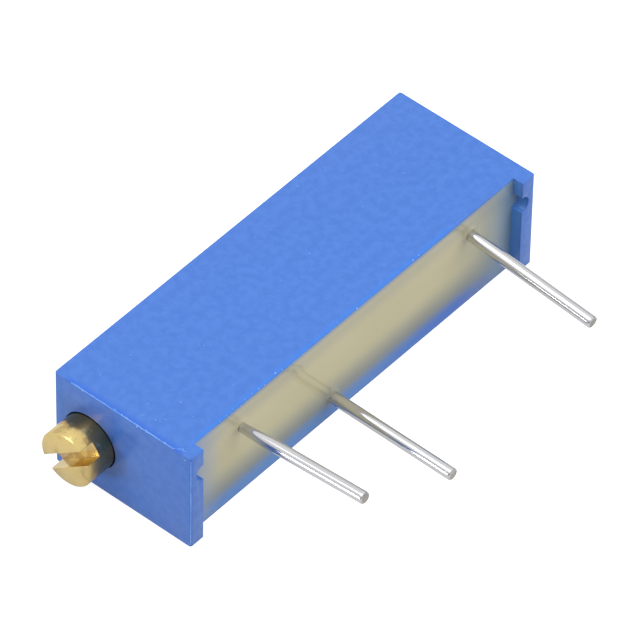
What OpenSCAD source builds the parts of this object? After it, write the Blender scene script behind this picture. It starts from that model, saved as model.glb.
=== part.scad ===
// Multi-turn trimmer potentiometer: a moulded box with a slotted screw at one end and three wire terminals.
// It lies on a broad side. +X runs from the screw end to the far end, the terminals point along -Y, +Z is up.
// The origin is where the first terminal crosses the plane of the two feet.
// The modules draw in body coordinates: x from the screw-end face, y from the plane of the feet towards
// the back, z from the lower broad side. place() moves each piece to the origin above.

/* [Housing] */
// Length of the body, from the screw-end face to the far end
length = 19.05; // [18.7:0.05:22]
// Height of the body, from the feet to the back
height = 6.5; // [6.3:0.05:8]
// Thickness of the body between its broad sides
width = 4.6; // [4.5:0.05:6]
// Wall at each end, which is also the thickness of a foot
end_wall = 0.69; // [0.55:0.01:0.8]
// Wall beside the potted opening
side_wall = 0.45; // [0.35:0.01:0.5]
// Wall behind the mechanism
back_wall = 0.6; // [0.45:0.01:0.7]
// How far the rims of the long walls lie behind the plane of the feet
rim_recess = 0.46; // [0.3:0.01:0.6]
// Radius of the upright corners
corner_radius = 0.1; // [0.05:0.01:0.3]
// Radius of the half-round groove on the inner side of each foot
groove_radius = 0.37; // [0.2:0.01:0.45]
// Height of that groove above the lower broad side
groove_height = 3.45; // [1.5:0.05:3.6]
// Depth of the ledge that carries the element plate, from the plane of the feet
ledge_depth = 1.9; // [1.6:0.05:2.1]
// Width of that ledge all round
ledge_width = 0.15; // [0.08:0.01:0.2]
// Room for the solder joints between the ledge and the underside of the screw gland
gland_lift = 1.1; // [0.7:0.05:1.2]
// Length of the screw gland, from the screw-end face
gland_length = 3.1; // [3.05:0.05:3.5]
// Width of each of the two guide ribs on the back wall
rib_width = 0.3; // [0.15:0.05:0.5]
// Height of a guide rib
rib_height = 0.15; // [0.05:0.01:0.2]
// Distance of each guide rib's middle from the side of the carriage's room
rib_inset = 0.7; // [0.5:0.05:1]

/* [Adjusting screw] */
// Diameter of the slotted head
head_diameter = 2.36; // [2:0.02:2.5]
// How far the head stands out of the screw-end face
head_reach = 1.3; // [0.8:0.05:2]
// Bevel round the face of the head
head_bevel = 0.07; // [0.02:0.01:0.15]
// Distance of the screw's axis from the back of the body
screw_drop = 1.68; // [1.65:0.01:1.8]
// How far the screw's axis lies below the middle of the body's thickness
screw_shift = 0.1; // [0:0.01:0.15]
// Width of the screwdriver slot
slot_width = 0.6; // [0.4:0.05:0.8]
// Depth of the screwdriver slot
slot_depth = 0.62; // [0.4:0.02:1]
// Turn of the slot about the screw's axis, as the screw was left
slot_turn = 38; // [0:1:180]
// Length of the head's cylinder inside the gland
head_inside = 2.2; // [2.1:0.05:2.25]
// Start of the seal's groove, from the screw-end face
seal_start = 1; // [0.6:0.05:1.2]
// Diameter of the seal's cord
seal_cord = 0.42; // [0.3:0.02:0.5]
// Play of the cord along its groove
seal_play = 0.08; // [0.04:0.01:0.12]
// Diameter of the neck that the clip holds
neck_diameter = 1.1; // [0.8:0.05:1.3]
// Diameter of the collar behind the neck
collar_diameter = 1.9; // [1.75:0.05:2]
// Length of the collar
collar_length = 0.35; // [0.2:0.05:0.4]
// Outer diameter of the lead thread
thread_diameter = 1.6; // [1.2:0.05:1.7]
// Diameter of the journal at the screw's far tip
tip_diameter = 0.9; // [0.6:0.05:1]
// Depth of the journal's blind bearing in the far wall
tip_bearing = 0.5; // [0.3:0.05:0.5]

/* [Retaining clip] */
// Thickness of the clip
clip_thickness = 0.4; // [0.3:0.05:0.4]
// Half the width of the clip across its legs
clip_half = 1.27; // [1.1:0.01:1.35]
// Reach of the clip's legs past the screw's axis
clip_reach = 0.75; // [0.5:0.05:0.85]

/* [Terminals] */
// Place of the first terminal along the body, from the screw-end face
terminal_1_x = 3.175; // [3:0.025:3.4]
// Place of the middle terminal along the body
terminal_2_x = 8.255; // [6:0.005:12]
// Distance of the last terminal from the far end
terminal_3_inset = 3.175; // [3:0.005:4.5]
// Distance of the first and the last terminal from the upper broad side
upper_row_inset = 1.08; // [1.05:0.01:1.12]
// Distance of the middle terminal from the lower broad side
lower_row_inset = 0.98; // [0.94:0.01:1.02]
// Diameter of a tinned terminal wire
wire_diameter = 0.5; // [0.4:0.02:0.56]
// Thickness of the tin on it
tin_coat = 0.03; // [0.02:0.01:0.05]
// Reach of the first terminal beyond the plane of the feet, along the wire
reach_1 = 5.42; // [3:0.01:8]
// Reach of the middle terminal
reach_2 = 5.28; // [3:0.01:8]
// Reach of the last terminal
reach_3 = 5.46; // [3:0.01:8]
// Lean of the first terminal towards the upper broad side, in degrees
lean_1 = 4.3; // [-6:0.1:6]
// Lean of the middle terminal
lean_2 = -0.6; // [-6:0.1:6]
// Lean of the last terminal
lean_3 = -5.9; // [-6:0.1:6]
// Bevel at the cut end of a wire
cut_bevel = 0.05; // [0.02:0.01:0.1]
// How deep behind the rims a leaning wire straightens
bend_cover = 0.04; // [0:0.01:0.06]
// How far the straight shank reaches into the leaning length
shank_lap = 0.08; // [0.05:0.01:0.1]
// How far a shank stands out of its solder
shank_over = 0.05; // [0.02:0.01:0.1]

/* [Element] */
// Thickness of the ceramic plate
plate_thickness = 0.6; // [0.4:0.05:0.7]
// Thickness of the fired films
film = 0.03; // [0.02:0.01:0.05]
// Bare ceramic between the resistive and the collector track
track_spacing = 0.45; // [0.4:0.01:0.6]
// Bare ceramic between the resistive track and the land of the last terminal
upper_clear = 0.085; // [0.05:0.005:0.12]
// Bare ceramic between the collector track and the middle terminal's row of lands
lower_clear = 0.185; // [0.15:0.005:0.2]
// Half the side of the square land round a terminal
land_half = 0.36; // [0.34:0.01:0.38]
// Length of the bare ends between a terminal and its end of the resistive track
track_inset = 1.1; // [0.8:0.05:1.2]
// Width of the end pad's leg behind the last terminal
pad_leg = 0.5; // [0.3:0.05:0.6]
// Radius of a solder joint on its land
solder_radius = 0.33; // [0.3:0.01:0.34]
// Height of a solder joint
solder_height = 0.32; // [0.2:0.01:0.4]
// Thickness of the solder at the top of a joint
solder_lip = 0.03; // [0.02:0.01:0.05]

/* [Carriage and wiper] */
// Length of the carriage along the screw
carriage_length = 3; // [2.5:0.05:3.1]
// Room under the carriage, above the element plate
carriage_lift = 0.65; // [0.6:0.01:0.8]
// Bevel along the carriage's upright edges
carriage_bevel = 0.2; // [0.05:0.05:0.3]
// Width of the split that lets the carriage ride over the thread at either end
split_width = 0.5; // [0.3:0.05:0.8]
// Thickness of the wiper's spring sheet
sheet = 0.08; // [0.05:0.01:0.1]
// Number of spring fingers on each track
fingers = 3; // [1:1:3]
// Width of one finger
finger_width = 0.13; // [0.08:0.01:0.13]
// Distance between the middles of two fingers
finger_pitch = 0.18; // [0.16:0.01:0.2]
// Radius of a finger's rounded contact, at the middle of the sheet
contact_radius = 0.18; // [0.1:0.01:0.2]
// Margin of the spring's root beside its outer fingers
root_margin = 0.065; // [0.04:0.005:0.1]
// Diameter of the posts that hold the spring
post_diameter = 0.26; // [0.2:0.02:0.3]
// How far a post's flattened head stands past the spring
post_head = 0.1; // [0.05:0.01:0.12]
// How far that head spreads beyond the post all round
post_spread = 0.06; // [0.04:0.01:0.08]
// Distance between the two posts
post_spacing = 1.8; // [1.4:0.1:2]

/* [Potting] */
// How far the potting's edge lies behind the rims
potting_drop = 0.01; // [0:0.01:0.1]
// How far its surface dips in the middle
potting_dish = 0.06; // [0.02:0.01:0.15]
// Radius of the collar that the potting draws up round a wire
collar_rise_radius = 0.42; // [0.36:0.01:0.44]
// How far that collar climbs past the potting's edge
collar_rise = 0.14; // [0.08:0.01:0.16]
// Thickness of the potting at the top of the collar
collar_lip = 0.02; // [0.01:0.01:0.03]

/* [Clearances] */
// Radial gap of the head in its bore, and of the journal in its bearing
running_gap = 0.04; // [0.02:0.01:0.06]
// Gap between the seal and the bore
seal_gap = 0.02; // [0.01:0.01:0.03]
// Gap round the collar, the neck and the clip
clip_gap = 0.05; // [0.03:0.01:0.05]
// Radial gap between the thread and the carriage
thread_gap = 0.05; // [0.03:0.01:0.08]
// Gap between the carriage and the walls that guide it
slide_gap = 0.08; // [0.04:0.01:0.1]
// Gap between the element plate and the housing
plate_gap = 0.05; // [0.02:0.01:0.08]
// Gap between a wire and its hole in the plate
hole_gap = 0.08; // [0.04:0.01:0.08]
// Gap round a post in its hole in the spring
post_gap = 0.01; // [0.01:0.01:0.02]
// Gap between the fingers' contacts and the tracks
wipe_gap = 0.02; // [0.01:0.01:0.04]

/* [Hidden] */
// Sides that a round piece is drawn with
$fn = 64;
// Overshoot of a cut past the face that it opens
over = 0.5;
// Overlap of two cuts that join
lap = 0.05;

mid_z = width / 2;
upper_row = width - upper_row_inset;
lower_row = lower_row_inset;
terminal_3_x = length - terminal_3_inset;

screw_y = height - screw_drop;
screw_z = mid_z - screw_shift;
head_r = head_diameter / 2;
bore_r = head_r + running_gap;
seal_groove_r = bore_r - seal_gap - seal_cord;
seal_groove_width = seal_cord + seal_play;
neck_r = neck_diameter / 2;
clip_start = head_inside + clip_gap;
clip_end = clip_start + clip_thickness;
collar_start = clip_end + clip_gap;
collar_r = collar_diameter / 2;
thread_r = thread_diameter / 2;
tip_r = tip_diameter / 2;

cavity_start = gland_length;
cavity_end = length - end_wall - ledge_width;
cavity_half = mid_z - side_wall - ledge_width;
cavity_back = height - back_wall;
thread_end = cavity_end - 2 * clip_gap;
tip_end = cavity_end + tip_bearing - 2 * clip_gap;

plate_back = ledge_depth - plate_thickness;
film_top = ledge_depth + film;
tracks_top = upper_row - land_half - upper_clear;
tracks_foot = lower_row + land_half + lower_clear;
track_width = (tracks_top - tracks_foot - track_spacing) / 2;
resist_z = tracks_top - track_width / 2;
collect_z = tracks_foot + track_width / 2;
track_start = terminal_1_x + track_inset;
track_end = terminal_3_x + track_inset;

wire_r = wire_diameter / 2;
shank_r = wire_r - tin_coat;
// Where a leaning wire straightens inside the potting, measured along it from the plane of the feet
bend_depth = rim_recess + bend_cover;
shank_end = film_top + solder_height + shank_over;

carriage_x = (cavity_start + cavity_end) / 2;
carriage_floor = ledge_depth + carriage_lift;
carriage_back = cavity_back - slide_gap;
carriage_half = cavity_half - slide_gap;
sheet_y = carriage_floor - sheet / 2;
contact_y = film_top + wipe_gap + sheet / 2 + contact_radius;
root_start = 0.85;
root_end = 1.35;
spine_half = 0.22;

potting_y = rim_recess + potting_drop;
// Radius of the dished surface, from its dip and the width of the opening
dish_chord = mid_z - side_wall;
dish_r = (dish_chord * dish_chord + potting_dish * potting_dish) / (2 * potting_dish);

// A part circle as a list of points, from angle a to angle b
function arc(cx, cy, r, a, b, steps = 6) =
    [for (i = [0:steps]) let(t = a + (b - a) * i / steps) [cx + r * cos(t), cy + r * sin(t)]];

// The side of a hollow fillet that rises from radius r0 to radius r1 over height h
function fillet_side(r0, r1, h) =
    [for (t = [0:15:90]) [r0 - (r0 - r1) * sin(t), h * (1 - cos(t))]];

// The direction across a path at each of its points
function across(p) =
    [for (i = [0:len(p) - 1])
        let(d = p[min(i + 1, len(p) - 1)] - p[max(i - 1, 0)]) [-d[1], d[0]] / norm(d)];

// A strip of thickness t along a path
function strip(p, t) =
    let(n = across(p), last = len(p) - 1)
    concat([for (i = [0:last]) p[i] + n[i] * t / 2], [for (i = [last:-1:0]) p[i] - n[i] * t / 2]);

module place() {
    translate([-terminal_1_x, 0, -upper_row]) children();
}

// A solid between two corners
module block(low, high) {
    translate(low) cube(high - low);
}

// An outline in x and z, drawn out from y0 to y1
module slab(y0, y1) {
    translate([0, y1, 0]) rotate([90, 0, 0]) linear_extrude(y1 - y0) children();
}

// An outline in y and z, drawn out from x0 to x1
module stretch(x0, x1) {
    translate([x0, 0, 0]) rotate([90, 0, 90]) linear_extrude(x1 - x0) children();
}

// A rectangle between two corners of an outline
module panel(low, high) {
    translate(low) square(high - low);
}

// A round bar along the screw's axis
module bar(x0, x1, r) {
    translate([x0, screw_y, screw_z]) rotate([0, 90, 0]) cylinder(r = r, h = x1 - x0);
}

// The side of the box: four rounded corners, and a foot at each end of the open side
function side_outline() = concat(
    arc(corner_radius, corner_radius, corner_radius, 180, 270),
    [[end_wall, 0], [end_wall, rim_recess], [length - end_wall, rim_recess], [length - end_wall, 0]],
    arc(length - corner_radius, corner_radius, corner_radius, 270, 360),
    arc(length - corner_radius, height - corner_radius, corner_radius, 0, 90),
    arc(corner_radius, height - corner_radius, corner_radius, 90, 180)
);

// The potted opening, with a half-round groove in each foot
module pocket_outline() {
    panel([end_wall, side_wall], [length - end_wall, width - side_wall]);
    for (x = [end_wall, length - end_wall]) translate([x, groove_height]) circle(groove_radius);
}

// The two ribs that guide the carriage, with their height and width grown by gap
module guide_ribs(x0, x1, gap) {
    for (side = [-1, 1]) {
        z = mid_z + side * (cavity_half - rib_inset);
        block(
            [x0, cavity_back - rib_height - gap, z - rib_width / 2 - gap],
            [x1, cavity_back + over, z + rib_width / 2 + gap]
        );
    }
}

// The room in which the carriage travels
module mechanism_room() {
    difference() {
        block(
            [cavity_start, ledge_depth - lap, mid_z - cavity_half],
            [cavity_end, cavity_back, mid_z + cavity_half]
        );
        guide_ribs(cavity_start - over, cavity_end + over, 0);
    }
}

// The bore, slot and throat of the screw gland, and the bearing of the screw's tip
module screw_room() {
    bar(-over, clip_start - clip_gap + lap, bore_r);
    block(
        [clip_start - clip_gap, ledge_depth + lap, screw_z - clip_half - clip_gap],
        [clip_end + clip_gap, screw_y + clip_reach + clip_gap, screw_z + clip_half + clip_gap]
    );
    bar(clip_end, cavity_start + lap, collar_r + clip_gap);
    bar(cavity_end - lap, cavity_end + tip_bearing, tip_r + running_gap);
}

module housing() {
    color("royalblue") place() difference() {
        linear_extrude(width) polygon(side_outline());
        slab(-over, ledge_depth) pocket_outline();
        mechanism_room();
        block(
            [end_wall + ledge_width, ledge_depth - lap, mid_z - cavity_half],
            [cavity_start + lap, ledge_depth + gland_lift, mid_z + cavity_half]
        );
        screw_room();
    }
}

// The turned outline of the screw: distance from the axis, then place along the body
function screw_profile() = [
    [0, -head_reach], [head_r - head_bevel, -head_reach], [head_r, head_bevel - head_reach],
    [head_r, seal_start], [seal_groove_r, seal_start],
    [seal_groove_r, seal_start + seal_groove_width], [head_r, seal_start + seal_groove_width],
    [head_r, head_inside], [neck_r, head_inside],
    [neck_r, collar_start], [collar_r, collar_start],
    [collar_r, collar_start + collar_length], [thread_r, collar_start + collar_length],
    [thread_r, thread_end - head_bevel], [thread_r - head_bevel, thread_end], [tip_r, thread_end],
    [tip_r, tip_end - head_bevel], [tip_r - head_bevel, tip_end], [0, tip_end]
];

module adjusting_screw() {
    color("goldenrod") place() translate([0, screw_y, screw_z]) difference() {
        rotate([0, 90, 0]) rotate_extrude() polygon(screw_profile());
        rotate([-slot_turn, 0, 0]) block(
            [-head_reach - over, -head_diameter, -slot_width / 2],
            [slot_depth - head_reach, head_diameter, slot_width / 2]
        );
    }
}

module shaft_seal() {
    color("dimgray") place() translate([seal_start + seal_groove_width / 2, screw_y, screw_z])
        rotate([0, 90, 0]) rotate_extrude() translate([seal_groove_r + seal_cord / 2, 0])
        circle(seal_cord / 2, $fn = 32);
}

// A fork whose legs pass the screw's neck, pushed in from the open side
module screw_retainer() {
    fork_r = neck_r + clip_gap;
    foot_y = ledge_depth + gland_lift;
    leg_end = screw_y + clip_reach;
    leg_mid = (fork_r + clip_half) / 2;
    color("lightgray") place() stretch(clip_start, clip_end) translate([0, screw_z]) difference() {
        polygon([
            [foot_y, -clip_half], [leg_end - head_bevel, -clip_half], [leg_end, -leg_mid],
            [leg_end, leg_mid], [leg_end - head_bevel, clip_half], [foot_y, clip_half]
        ]);
        translate([screw_y, 0]) circle(fork_r);
        panel([screw_y, -fork_r], [leg_end + over, fork_r]);
    }
}

// The carriage seen along the screw, with its lower edges bevelled
function carriage_outline() = [
    [carriage_floor, carriage_bevel - carriage_half], [carriage_floor + carriage_bevel, -carriage_half],
    [carriage_back, -carriage_half], [carriage_back, carriage_half],
    [carriage_floor + carriage_bevel, carriage_half], [carriage_floor, carriage_half - carriage_bevel]
];

module wiper_carriage() {
    x0 = carriage_x - carriage_length / 2;
    x1 = carriage_x + carriage_length / 2;
    head_height = sheet + post_head;
    color("ivory") place() {
        difference() {
            stretch(x0, x1) translate([0, mid_z]) polygon(carriage_outline());
            bar(x0 - over, x1 + over, thread_r + thread_gap);
            block(
                [x0 - over, screw_y, screw_z - split_width / 2],
                [x1 + over, height, screw_z + split_width / 2]
            );
            guide_ribs(x0 - over, x1 + over, slide_gap);
        }
        for (side = [-1, 1]) translate([carriage_x + side * post_spacing / 2, carriage_floor + lap, mid_z])
            rotate([90, 0, 0]) {
                cylinder(d = post_diameter, h = lap + head_height);
                translate([0, 0, lap + sheet]) cylinder(d = post_diameter + 2 * post_spread, h = post_head);
            }
    }
}

// A finger seen from the side: a flat root, a slope, and a rounded contact with its tip turned up
function finger_path() = concat(
    [[root_end - lap, sheet_y], [root_start, sheet_y]],
    arc(0, contact_y, contact_radius, -50, -150)
);

module wiper_contact() {
    fan_half = ((fingers - 1) * finger_pitch + finger_width) / 2;
    root_foot = collect_z - fan_half - root_margin;
    root_top = resist_z + fan_half + root_margin;
    color("gold") place() translate([carriage_x, 0, 0]) {
        difference() {
            slab(carriage_floor - sheet, carriage_floor) {
                panel([root_start, root_foot], [root_end, root_top]);
                panel([-root_end, mid_z - spine_half], [root_start + lap, mid_z + spine_half]);
            }
            for (side = [-1, 1]) translate([side * post_spacing / 2, carriage_floor + over, mid_z])
                rotate([90, 0, 0]) cylinder(d = post_diameter + 2 * post_gap, h = 2 * over);
        }
        for (track_z = [collect_z, resist_z], i = [0:fingers - 1])
            translate([0, 0, track_z - fan_half + i * finger_pitch])
                linear_extrude(finger_width) polygon(strip(finger_path(), sheet));
    }
}

// Where the straight shank of a leaning wire stands, above its row
function shank_shift(lean) = -bend_depth * sin(lean);

// A wire in its own place: the tinned length leans, and the bare shank inside stands straight
module wire(reach, lean) {
    rotate([90 - lean, 0, 0]) {
        translate([0, 0, -bend_depth]) cylinder(r = wire_r, h = bend_depth + reach - cut_bevel);
        translate([0, 0, reach - cut_bevel]) cylinder(r1 = wire_r, r2 = wire_r - cut_bevel, h = cut_bevel);
    }
    shank_start = bend_depth * cos(lean) - shank_lap;
    translate([0, shank_end, shank_shift(lean)]) rotate([90, 0, 0]) cylinder(r = shank_r, h = shank_end - shank_start);
}

module terminal_1() {
    color("silver") place() translate([terminal_1_x, 0, upper_row]) wire(reach_1, lean_1);
}

module terminal_2() {
    color("silver") place() translate([terminal_2_x, 0, lower_row]) wire(reach_2, lean_2);
}

module terminal_3() {
    color("silver") place() translate([terminal_3_x, 0, upper_row]) wire(reach_3, lean_3);
}

// A ring of solder that rises from a land to the wire
module solder_ring(x, z) {
    color("gainsboro") place() translate([x, film_top, z]) rotate([-90, 0, 0]) rotate_extrude()
        polygon(concat(
            [[shank_r, 0]],
            fillet_side(solder_radius, shank_r + solder_lip, solder_height),
            [[shank_r, solder_height]]
        ));
}

module solder_1() {
    solder_ring(terminal_1_x, upper_row + shank_shift(lean_1));
}

module solder_2() {
    solder_ring(terminal_2_x, lower_row + shank_shift(lean_2));
}

module solder_3() {
    solder_ring(terminal_3_x, upper_row + shank_shift(lean_3));
}

// The holes that the three shanks pass, grown by gap
module shank_holes(gap) {
    translate([terminal_1_x, upper_row + shank_shift(lean_1)]) circle(shank_r + gap, $fn = 32);
    translate([terminal_2_x, lower_row + shank_shift(lean_2)]) circle(shank_r + gap, $fn = 32);
    translate([terminal_3_x, upper_row + shank_shift(lean_3)]) circle(shank_r + gap, $fn = 32);
}

module ceramic_substrate() {
    edge = end_wall + plate_gap;
    side = side_wall + plate_gap;
    color("whitesmoke") place() slab(plate_back, ledge_depth) difference() {
        panel([edge, side], [length - edge, width - side]);
        shank_holes(hole_gap);
    }
}

module film_layer() {
    place() slab(ledge_depth, film_top) difference() {
        children();
        shank_holes(0);
    }
}

module resistive_track() {
    color("black") film_layer()
        panel([track_start, resist_z - track_width / 2], [track_end, resist_z + track_width / 2]);
}

module collector_track() {
    color("lightsteelblue") film_layer() {
        panel([track_start, collect_z - track_width / 2], [track_end, collect_z + track_width / 2]);
        land = lower_row + shank_shift(lean_2);
        panel([terminal_2_x - land_half, land - land_half], [terminal_2_x + land_half, collect_z]);
    }
}

module end_pad_1() {
    land = upper_row + shank_shift(lean_1);
    foot = resist_z - track_width / 2;
    color("lightsteelblue") film_layer() {
        panel([terminal_1_x - land_half, foot], [terminal_1_x + land_half, land + land_half]);
        panel([terminal_1_x, foot], [track_start, foot + track_width]);
    }
}

module end_pad_3() {
    land = upper_row + shank_shift(lean_3);
    foot = resist_z - track_width / 2;
    color("lightsteelblue") film_layer() {
        panel([terminal_3_x - land_half, land - land_half], [terminal_3_x + land_half, land + land_half]);
        panel([terminal_3_x, land - land_half / 2], [track_end + pad_leg, land + land_half]);
        panel([track_end, foot], [track_end + pad_leg, land + land_half]);
    }
}

// The potting drawn up round one wire
module drawn_collar(x, z, lean) {
    rise = potting_dish + lap + collar_rise;
    translate([x, 0, z]) rotate([90 - lean, 0, 0]) translate([0, 0, -potting_y - potting_dish - lap])
        rotate_extrude() polygon(concat(
            [[0, 0]],
            fillet_side(collar_rise_radius, wire_r + collar_lip, rise),
            [[0, rise]]
        ));
}

module potting_fill() {
    color("tan") place() difference() {
        union() {
            difference() {
                slab(potting_y, plate_back) pocket_outline();
                translate([-over, potting_y + potting_dish - dish_r, mid_z])
                    rotate([0, 90, 0]) cylinder(r = dish_r, h = length + 2 * over, $fn = 256);
            }
            drawn_collar(terminal_1_x, upper_row, lean_1);
            drawn_collar(terminal_2_x, lower_row, lean_2);
            drawn_collar(terminal_3_x, upper_row, lean_3);
        }
        translate([terminal_1_x, 0, upper_row]) wire(reach_1, lean_1);
        translate([terminal_2_x, 0, lower_row]) wire(reach_2, lean_2);
        translate([terminal_3_x, 0, upper_row]) wire(reach_3, lean_3);
    }
}

housing();
adjusting_screw();
shaft_seal();
screw_retainer();
wiper_carriage();
wiper_contact();
ceramic_substrate();
resistive_track();
collector_track();
end_pad_1();
end_pad_3();
terminal_1();
terminal_2();
terminal_3();
solder_1();
solder_2();
solder_3();
potting_fill();
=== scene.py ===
"""Looks of a multi-turn trimmer potentiometer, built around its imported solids.

Lengths in the dataclass fields are millimetres in body coordinates: x from the screw-end face, y from the
plane of the two feet towards the back, z from the lower broad side. The meshes themselves are in metres in
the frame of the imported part, whose origin is where the first terminal crosses the plane of the feet.
"""

import logging
import math
from dataclasses import dataclass, field
from enum import Enum
from typing import Callable, Iterable, Sequence

import bmesh
import bpy
from mathutils import Matrix, Quaternion, Vector, noise
from mathutils.geometry import delaunay_2d_cdt

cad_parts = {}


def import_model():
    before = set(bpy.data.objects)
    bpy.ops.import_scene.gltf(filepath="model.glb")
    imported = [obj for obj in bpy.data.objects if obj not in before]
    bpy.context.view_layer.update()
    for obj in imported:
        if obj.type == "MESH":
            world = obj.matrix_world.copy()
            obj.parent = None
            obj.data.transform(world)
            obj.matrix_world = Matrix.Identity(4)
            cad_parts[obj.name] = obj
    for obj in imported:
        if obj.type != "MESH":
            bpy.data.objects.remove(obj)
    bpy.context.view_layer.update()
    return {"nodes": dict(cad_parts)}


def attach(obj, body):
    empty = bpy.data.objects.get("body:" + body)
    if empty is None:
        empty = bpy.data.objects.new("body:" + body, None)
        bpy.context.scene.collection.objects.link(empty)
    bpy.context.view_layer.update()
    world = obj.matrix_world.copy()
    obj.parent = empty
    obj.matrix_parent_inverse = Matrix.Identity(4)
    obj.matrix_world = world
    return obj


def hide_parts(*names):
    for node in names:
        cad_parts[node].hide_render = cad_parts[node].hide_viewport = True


LOG = logging.getLogger("trimmer")
MM = 0.001
Piece = bpy.types.Object
Socket = bpy.types.NodeSocket
Span = tuple[float, float]
Point = tuple[float, float, float]
Colour = tuple[float, float, float]


class Body(str, Enum):
    """The rigid bodies that new pieces ride on."""

    HOUSING = "body"
    SCREW = "screw"


class Slot(str, Enum):
    """The record's material slots that new pieces are passed with; nothing reads them."""

    HOUSING = "housing"
    SCREW = "screw"
    WIRE = "tinned_wire"
    POTTING = "potting"


class Axis(Enum):
    """The direction that fine lines run along."""

    X = 0
    Y = 1


@dataclass(frozen=True)
class BodySizes:
    """Sizes of the moulded box that several sub-assemblies share."""

    length: float = 19.05
    height: float = 6.5
    width: float = 4.6
    end_wall: float = 0.69
    side_wall: float = 0.45
    rim_recess: float = 0.46
    groove_radius: float = 0.37
    groove_height: float = 3.45
    screw_y: float = 4.82
    screw_z: float = 2.2
    plate_back: float = 1.3
    origin: Point = (3.175, 0.0, 3.52)

    @property
    def middle(self) -> float:
        """Half the thickness between the broad sides."""
        return self.width / 2

    def row(self, x: float, y: float, z: float) -> Vector:
        """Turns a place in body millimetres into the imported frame, in metres."""
        return Vector((x - self.origin[0], y - self.origin[1], z - self.origin[2])) * MM


SIZES = BodySizes()


def linear(red: int, green: int, blue: int) -> Colour:
    """Turns an 8-bit display colour into scene-linear values.

    Args:
        red: Red, 0 to 255.
        green: Green, 0 to 255.
        blue: Blue, 0 to 255.

    Returns:
        The linear colour.
    """
    bends = []
    for value in (red, green, blue):
        share = value / 255
        bends.append(share / 12.92 if share <= 0.04045 else ((share + 0.055) / 1.055) ** 2.4)
    return (bends[0], bends[1], bends[2])


# Shader trees


class Graph:
    """A hand for laying and linking nodes in one tree."""

    def __init__(self, tree: bpy.types.NodeTree) -> None:
        """Takes the shader or geometry node tree to work in."""
        self.tree = tree

    def feed(self, socket: Socket, value: object) -> None:
        """Links an input to an output socket, or sets its value.

        Args:
            socket: The input socket.
            value: The value or the output socket.
        """
        if isinstance(value, Socket):
            self.tree.links.new(value, socket)
        else:
            socket.default_value = value

    def add(self, kind: str, settings: dict | None = None, inputs: dict | None = None) -> bpy.types.Node:
        """Lays one node.

        Args:
            kind: The node's type name.
            settings: Attribute values of the node.
            inputs: Input values or sockets to link from, by socket name or number.

        Returns:
            The new node.
        """
        node = self.tree.nodes.new(kind)
        for key, value in (settings or {}).items():
            setattr(node, key, value)
        for key, value in (inputs or {}).items():
            self.feed(node.inputs[key], value)
        return node

    def math(self, operation: str, first: object, second: object = 0.0) -> Socket:
        """Lays a Math node on two numbers or sockets and returns its output."""
        return self.add("ShaderNodeMath", {"operation": operation}, {0: first, 1: second}).outputs[0]

    def product(self, first: object, *others: object) -> Socket:
        """Multiplies numbers or sockets, from the first to the last.

        Args:
            first: The first factor.
            others: The other factors.

        Returns:
            The product's socket.
        """
        for other in others:
            first = self.math("MULTIPLY", first, other)
        return first

    def ramp(self, value: object, low: float, high: float, start: float = 0.0, end: float = 1.0) -> Socket:
        """Lays a smooth Map Range node.

        Args:
            value: The number or socket that is mapped.
            low: Where the change starts.
            high: Where it ends.
            start: The result below low.
            end: The result above high.

        Returns:
            Its output.
        """
        inputs = {0: value, 1: low, 2: high, 3: start, 4: end}
        return self.add("ShaderNodeMapRange", {"interpolation_type": "SMOOTHSTEP"}, inputs).outputs[0]

    def within(self, value: object, low: float, high: float, soft: float) -> Socket:
        """Gives 1 where a value lies in a span and 0 outside it, with a soft change at both ends."""
        return self.product(self.ramp(value, low - soft, low), self.ramp(value, high, high + soft, 1.0, 0.0))

    def mix(self, share: object, first: object, second: object) -> Socket:
        """Lays a colour Mix node.

        Args:
            share: How much of the second colour shows.
            first: A colour or socket.
            second: A colour or socket.

        Returns:
            Its colour output.
        """
        node = self.add("ShaderNodeMix", {"data_type": "RGBA"}, {0: share})
        for socket, value in ((node.inputs[6], first), (node.inputs[7], second)):
            self.feed(socket, value if isinstance(value, Socket) else (*value[:3], 1.0))
        return node.outputs[2]

    def noise(self, place: object, scale: object, detail: float, **others: object) -> bpy.types.Node:
        """Lays a Noise Texture node with a scale, a detail and any other inputs."""
        return self.add("ShaderNodeTexNoise", None, {"Vector": place, "Scale": scale, "Detail": detail, **others})

    def body_place(self, place: Socket) -> list[Socket]:
        """Turns object coordinates into body millimetres.

        Args:
            place: Object coordinates.

        Returns:
            The distances along the body, behind the plane of the feet and above the lower broad side.
        """
        apart = self.add("ShaderNodeSeparateXYZ", None, {0: place})
        corner = SIZES.row(0, 0, 0)
        return [self.math("DIVIDE", self.math("SUBTRACT", apart.outputs[i], corner[i]), MM) for i in range(3)]


class Effect(Enum):
    """A shader effect that several finishes use: its group's name, its number inputs and its output."""

    MOTTLE = ("cloudy_mottle", ("Scale", "Detail"), "Cloud")
    GRAIN = ("pebbled_grain", ("Scale", "Fine"), "Height")
    STREAKS = ("fine_streaks", ("Across", "Along", "Which"), "Height")
    SPECKS = ("scattered_specks", ("Scale", "Size", "Share"), "Mask")


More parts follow.
